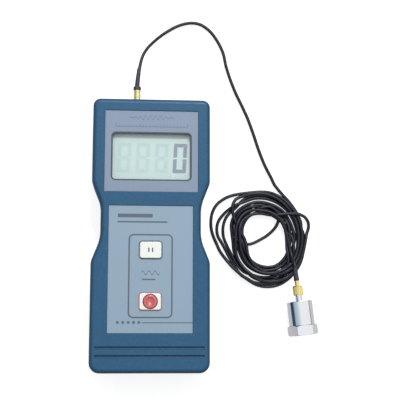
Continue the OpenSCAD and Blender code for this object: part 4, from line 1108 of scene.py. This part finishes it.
def makePowerKey():
    # a white cap, a red disc with a dish in it, and a dark ring round the disc that paints the shade of the
    # gap between disc and cap
    k, r = keys, keys["discR"]
    at = Matrix.Translation((0, k["powerY"], 0))
    pocket = rod(r + k["discGap"], k["pocketZ"], k["topZ"] + over, at, steps=64)
    finished("power_key_cap", carve(keyCap(k["powerY"]), "DIFFERENCE", pocket), keyWhite, "white_key",
             body="power_button", replaces=["power_key"])
    top = k["topZ"] + k["discRise"]
    rim = arcLevels(k["discRound"], top - k["discDrop"], k["roundSteps"])[::-1]
    disc = [(x, top + z) for x, z in k["dish"]] + [(r - inset, z) for inset, z in rim]
    disc += [(r, k["pocketZ"]), (0, k["pocketZ"])]
    finished("power_key_disc", spun(disc, at), keyRed, "red_key", body="power_button")
    # the dark ring is painted shade for the gap round the disc
    inner, outer, foot = r - k["seatLap"], r + k["seatW"], k["topZ"] - k["seatSink"]
    seat = [(inner, foot), (outer, foot), (outer, foot + k["seatT"]), (inner, foot + k["seatT"])]
    finished("power_key_shade_ring", spun(seat, at), paintedSeatShade, "red_key", body="power_button")


makeHoldKey()
makePowerKey()
print("keys made")


# Socket and plug, turned about the socket's axis: radii, and heights out of the case's end face
turnedGold = {
    "jack": [(1.25, -6.7), (2.8, -6.7), (2.8, 0), (3.2, 0), (3.3, 0.1), (3.3, 1.3), (3.2, 1.4), (1.7, 1.4),
             (1.7, 5.3), (1.6, 5.4), (1.25, 5.4)],
    "plug": [(1.8, 1.55), (2.02, 1.55), (2.1, 1.65), (2.1, 3.3), (1.98, 3.42), (1.98, 3.78), (2.1, 3.9),
             (2.1, 6.6), (1.98, 6.72), (1.98, 7.0), (2.1, 7.12), (2.1, 8.3), (2.02, 8.4), (0, 8.4), (0, 5.6),
             (1.8, 5.6)],
}

# Sleeve on the cable behind the plug: a boot (heights above its foot and radii), then a tube along the cable
plugSleeve = {"y": 89.4, "boot": [(0, 2.15), (0.15, 2.3), (1.9, 2.3), (2.25, 2.15), (2.4, 1.75)],
              "route": [(-9, 92.1, 14), (-8.9, 94, 14), (-8.6, 97.5, 13.8), (-8.2, 101, 13.6)],
              "thick": 1.45, "thin": 1.2, "spacing": 0.8, "sides": 24}


def ringsAlong(points, radii, sides):
    # a closed tube: a circle set square on each point, each bridged to the next
    bm = bmesh.new()
    count = len(points)
    loops = []
    for k, (point, radius) in enumerate(zip(points, radii)):
        way = Vector(points[min(k + 1, count - 1)]) - Vector(points[max(k - 1, 0)])
        turn = way.to_track_quat("Z", "X").to_matrix().to_4x4()
        made = bmesh.ops.create_circle(bm, cap_ends=k in (0, count - 1), radius=radius, segments=sides,
                                       matrix=Matrix.Translation(point) @ turn)
        loops.append(list({e for v in made["verts"] for e in v.link_edges}))
    for one, two in zip(loops, loops[1:]):
        bmesh.ops.bridge_loops(bm, edges=one + two)
    return outward(bm)


def makePlugSleeve():
    s = plugSleeve
    end, following = Vector(cable["lead"][0]), Vector(cable["lead"][1])
    before = end - (following - end).normalized() * cable["diameter"]
    curve = smoothLine(s["route"] + [tuple(before), tuple(end)], s["spacing"])
    rings = [((socket["x"], s["y"] + up, socket["z"]), radius) for up, radius in s["boot"]]
    last = len(curve) - 1
    rings += [(tuple(p), s["thick"] + (s["thin"] - s["thick"]) * k / last) for k, p in enumerate(curve)]
    points, radii = zip(*rings)
    return finished("plug_sleeve_moulded", ringsAlong(points, radii, s["sides"]), sleeveRubber, "cable_black",
                    replaces=["plug_sleeve"])


# Probe: turned about its axis, as radii and heights up from the bottom of the foot
probeShape = {
    "flats": 16, "hexHeight": 6, "hexEdge": 0.6,
    "spigot": [(0, 5), (6.4, 5), (6.4, 7.5), (1.5, 7.5), (1.5, 18.1), (0, 18.1)],
    "bore": [(0, -1), (2.45, -1), (2.45, 0), (2.1, 0.35), (2.1, 5.4), (0, 5.4)],
    "body": [(6.5, 6.02), (7.55, 6.02), (7.7, 6.2), (7.7, 20.0), (7.55, 20.35), (7.2, 20.5), (2.45, 20.5),
             (2.45, 19.2), (6.5, 19.2)],
    "stub": [(1.65, 18.3), (3.6, 18.3), (3.6, 19.2), (2.4, 19.2), (2.4, 20.5), (2.0, 20.6), (2.0, 24.0),
             (2.4, 24.05), (2.4, 28.2), (2.3, 28.3), (1.65, 28.3)],
    "neck": [(0, 28.4), (2.2, 28.4), (2.2, 28.9), (1.3, 28.9), (1.3, 31.2), (1.15, 31.3), (1.15, 31.6),
             (1.3, 31.7), (1.3, 33.0), (0, 33.0)],
    "sleeve": [(0, 33.0), (1.55, 33.0), (1.65, 33.15), (1.62, 34.6), (1.3, 40.3), (1.15, 40.6), (0, 40.6)],
    "nut": [(2.48, 24.1), (2.75, 24.1), (3, 24.45), (3, 29.3), (2.55, 29.9), (1.5, 29.9), (1.5, 29),
            (2.48, 29)],
    "nutRadius": 3, "ribs": 40, "ribDepth": 0.08, "rimBand": 0.01,   # knurls round the nut's rim
}
probePlace = (Matrix.Translation(probe["foot"]) @ Matrix.Rotation(math.radians(probe["turn"]), 4, "Z")
              @ Matrix.Rotation(-math.pi / 2, 4, "X"))


def makeFoot():
    # the hexagon with its edges turned off, the spigot inside the body, and the mounting hole
    p = probeShape
    r, top, edge = p["flats"] / 2, p["hexHeight"], p["hexEdge"]
    corner = r / math.cos(math.radians(30))
    foot = rod(corner, 0, top, Matrix.Rotation(math.radians(30), 4, "Z"), steps=6)
    turned = spun([(0, 0), (r, 0), (corner, edge), (corner, top - edge), (r, top), (0, top)], steps=96)
    foot = carve(foot, "INTERSECT", turned)
    foot = carve(foot, "UNION", spun(p["spigot"]))
    foot = carve(foot, "DIFFERENCE", spun(p["bore"]))
    bmesh.ops.transform(foot, matrix=probePlace, verts=foot.verts)
    finished("sensor_base_milled", foot, probeSteel, "probe_steel", replaces=["sensor_base"], sharp=25)


def makeNut():
    # coupling nut: a turned shell with straight knurls cut round it
    p = probeShape
    bm = spun(p["nut"], steps=2 * p["ribs"])
    dent = 1 - p["ribDepth"] / p["nutRadius"]
    for v in bm.verts:
        turn = round(math.atan2(v.co.y, v.co.x) / math.tau * 2 * p["ribs"])
        if turn % 2 and math.hypot(v.co.x, v.co.y) > p["nutRadius"] - p["rimBand"]:
            v.co.x *= dent
            v.co.y *= dent
    bmesh.ops.transform(bm, matrix=probePlace, verts=bm.verts)
    return finished("sensor_nut_knurled", bm, probeGold, "gold", body="coupling_nut", replaces=["sensor_nut"],
                    sharp=12)


def turnedPiece(node, bm, material, slotName, ending="turned"):
    return finished(node + "_" + ending, bm, material, slotName, replaces=[node])


turnedPiece("sensor_jack", spun(turnedGold["jack"], socketPlace), goldPlate, "gold")
plug = turnedPiece("meter_plug", spun(turnedGold["plug"], socketPlace), goldPlate, "gold")
plugSleevePiece = makePlugSleeve()
makeFoot()
turnedPiece("sensor_housing", spun(probeShape["body"], probePlace, steps=96), probeSteel, "probe_steel")
turnedPiece("sensor_receptacle", spun(probeShape["stub"], probePlace), probeSteel, "probe_steel")
neckPiece = turnedPiece("sensor_plug", spun(probeShape["neck"], probePlace), probeGold, "gold")
sensorSleeve = turnedPiece("sensor_sleeve", spun(probeShape["sleeve"], probePlace), sleeveRubber,
                           "cable_black", "moulded")
nutPiece = makeNut()
print("socket and probe made")


# The cable as one curve of its true thickness
def makeCable():
    line = cableLine()
    curve = bpy.data.curves.new("cable", "CURVE")
    curve.dimensions = "3D"
    spline = curve.splines.new("POLY")
    spline.points.add(len(line) - 1)
    spline.points.foreach_set("co", np.column_stack([line * mm, np.ones(len(line))]).ravel())
    spline.use_smooth = True
    curve.bevel_depth = cable["diameter"] / 2 * mm
    curve.bevel_resolution = 4
    curve.use_fill_caps = True
    curve.materials.append(cableJacket)
    piece = placed("sensor_cable", curve)
    length = float(np.linalg.norm(np.diff(line, axis=0), axis=1).sum()) * mm
    print("cable laid, metres long:", round(length, 3), "and millimetres high:", round(line[:, 2].max(), 1))
    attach(piece, "meter")
    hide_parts("cable_lead", "cable_coil", "cable_tail")


makeCable()


# Floor, lamp and world. The ramps say what gloss sees from the table (0) to straight overhead (1):
# white overhead, and on the left a dark screen.
studio = {
    "floor": 3.0, "floorTone": (0.58, 0.62), "floorPatches": 20.0, "floorGlow": 0.74, "glossShare": 0.1,
    "lamp": 0.42, "lampSize": 0.3, "lampFrom": (0.14, 0.85, 1.0),
    "fill": [(0.0, 0.3), (0.5, 0.58), (1.0, 0.8)],   # weaker from the foot end
    "open": [(0.0, (0.55, 0.6, 0.66)), (0.07, (0.5, 0.55, 0.6)), (0.11, (0.08, 0.08, 0.1)),
             (0.16, (0.1, 0.1, 0.12)), (0.21, (0.95, 0.95, 0.97)), (0.4, (1, 1, 1))],
    "screen": [(0.05, (0.5, 0.52, 0.55)), (0.12, (0.02, 0.025, 0.04)), (0.3, (0.03, 0.04, 0.06)),
               (0.4, (0.36, 0.46, 0.54)), (0.85, (0.6, 0.7, 0.76)), (0.98, (0.95, 0.97, 1))],
    "screenFrom": -0.03, "screenFull": -0.25,
}


def straightSight(tree, path):
    # what the camera looks at, also through something clear
    return calc(tree, "MAXIMUM", path["Is Camera Ray"], path["Is Transmission Ray"])


def makeFloor():
    bm = bmesh.new()
    bmesh.ops.create_grid(bm, x_segments=1, y_segments=1, size=studio["floor"] / 2)
    floor = meshObject("floor", bm)
    material, tree, shader, place = startMaterial("floorWhite")
    tone = spread(tree, noise(tree, place, studio["floorPatches"], detail=3.0), 0.0, 1.0, studio["floorTone"])
    white = put(tree, "CombineColor", {"Red": tone, "Green": tone, "Blue": tone}).outputs["Color"]
    path = put(tree, "LightPath").outputs
    shown = calc(tree, "MULTIPLY", path["Is Glossy Ray"], studio["glossShare"])
    seen = calc(tree, "MAXIMUM", straightSight(tree, path), shown)
    fill(tree, shader, {"Base Color": white, "Roughness": 1.0, "Specular IOR Level": 0.0,
                        "Emission Color": (1, 1, 1, 1),
                        "Emission Strength": calc(tree, "MULTIPLY", seen, studio["floorGlow"])})
    # clear from below, so the underside can be looked at
    clear = put(tree, "BsdfTransparent").outputs[0]
    below = put(tree, "NewGeometry").outputs["Backfacing"]
    sides = put(tree, "MixShader", {0: below, 1: shader.outputs["BSDF"], 2: clear}).outputs[0]
    tree.links.new(sides, next(n for n in tree.nodes if n.type == "OUTPUT_MATERIAL").inputs["Surface"])
    floor.data.materials.append(material)


def makeWorld():
    world = bpy.data.worlds.new("studio")
    scene.world = world
    world.use_nodes = True
    tree = world.node_tree
    tree.nodes.clear()
    path = put(tree, "LightPath").outputs
    way = put(tree, "SeparateXYZ", {0: put(tree, "TexCoord").outputs["Generated"]}).outputs
    side = spread(tree, way["X"], studio["screenFrom"], studio["screenFull"])
    sight = blend(tree, side, ramp(tree, way["Z"], studio["open"]), ramp(tree, way["Z"], studio["screen"]))
    level = spread(tree, way["Y"], -1.0, 1.0)
    grey = ramp(tree, level, [(stop, (value, value, value)) for stop, value in studio["fill"]])
    soft, glossy, white = (put(tree, "Background", {"Color": colour, "Strength": 1.0}).outputs[0]
                           for colour in (grey, sight, (1, 1, 1, 1)))
    both = put(tree, "MixShader", {0: path["Is Glossy Ray"], 1: soft, 2: glossy}).outputs[0]
    every = put(tree, "MixShader", {0: straightSight(tree, path), 1: both, 2: white}).outputs[0]
    put(tree, "OutputWorld", {"Surface": every})


def makeLamp():
    light = bpy.data.lights.new("keyLight", "AREA")
    light.shape = "DISK"
    light.size = studio["lampSize"]
    where = Vector(studio["lampFrom"])
    # power that gives the studio's lamp share on a level surface at the origin
    slope = where.z / where.length
    light.energy = studio["lamp"] * math.pi * math.pi * where.length ** 2 / slope
    lamp = placed("keyLight", light)
    lamp.location = where
    lamp.rotation_mode = "QUATERNION"
    lamp.rotation_quaternion = (-where).to_track_quat("-Z", "Y")


makeFloor()
makeWorld()
makeLamp()
print("studio made")
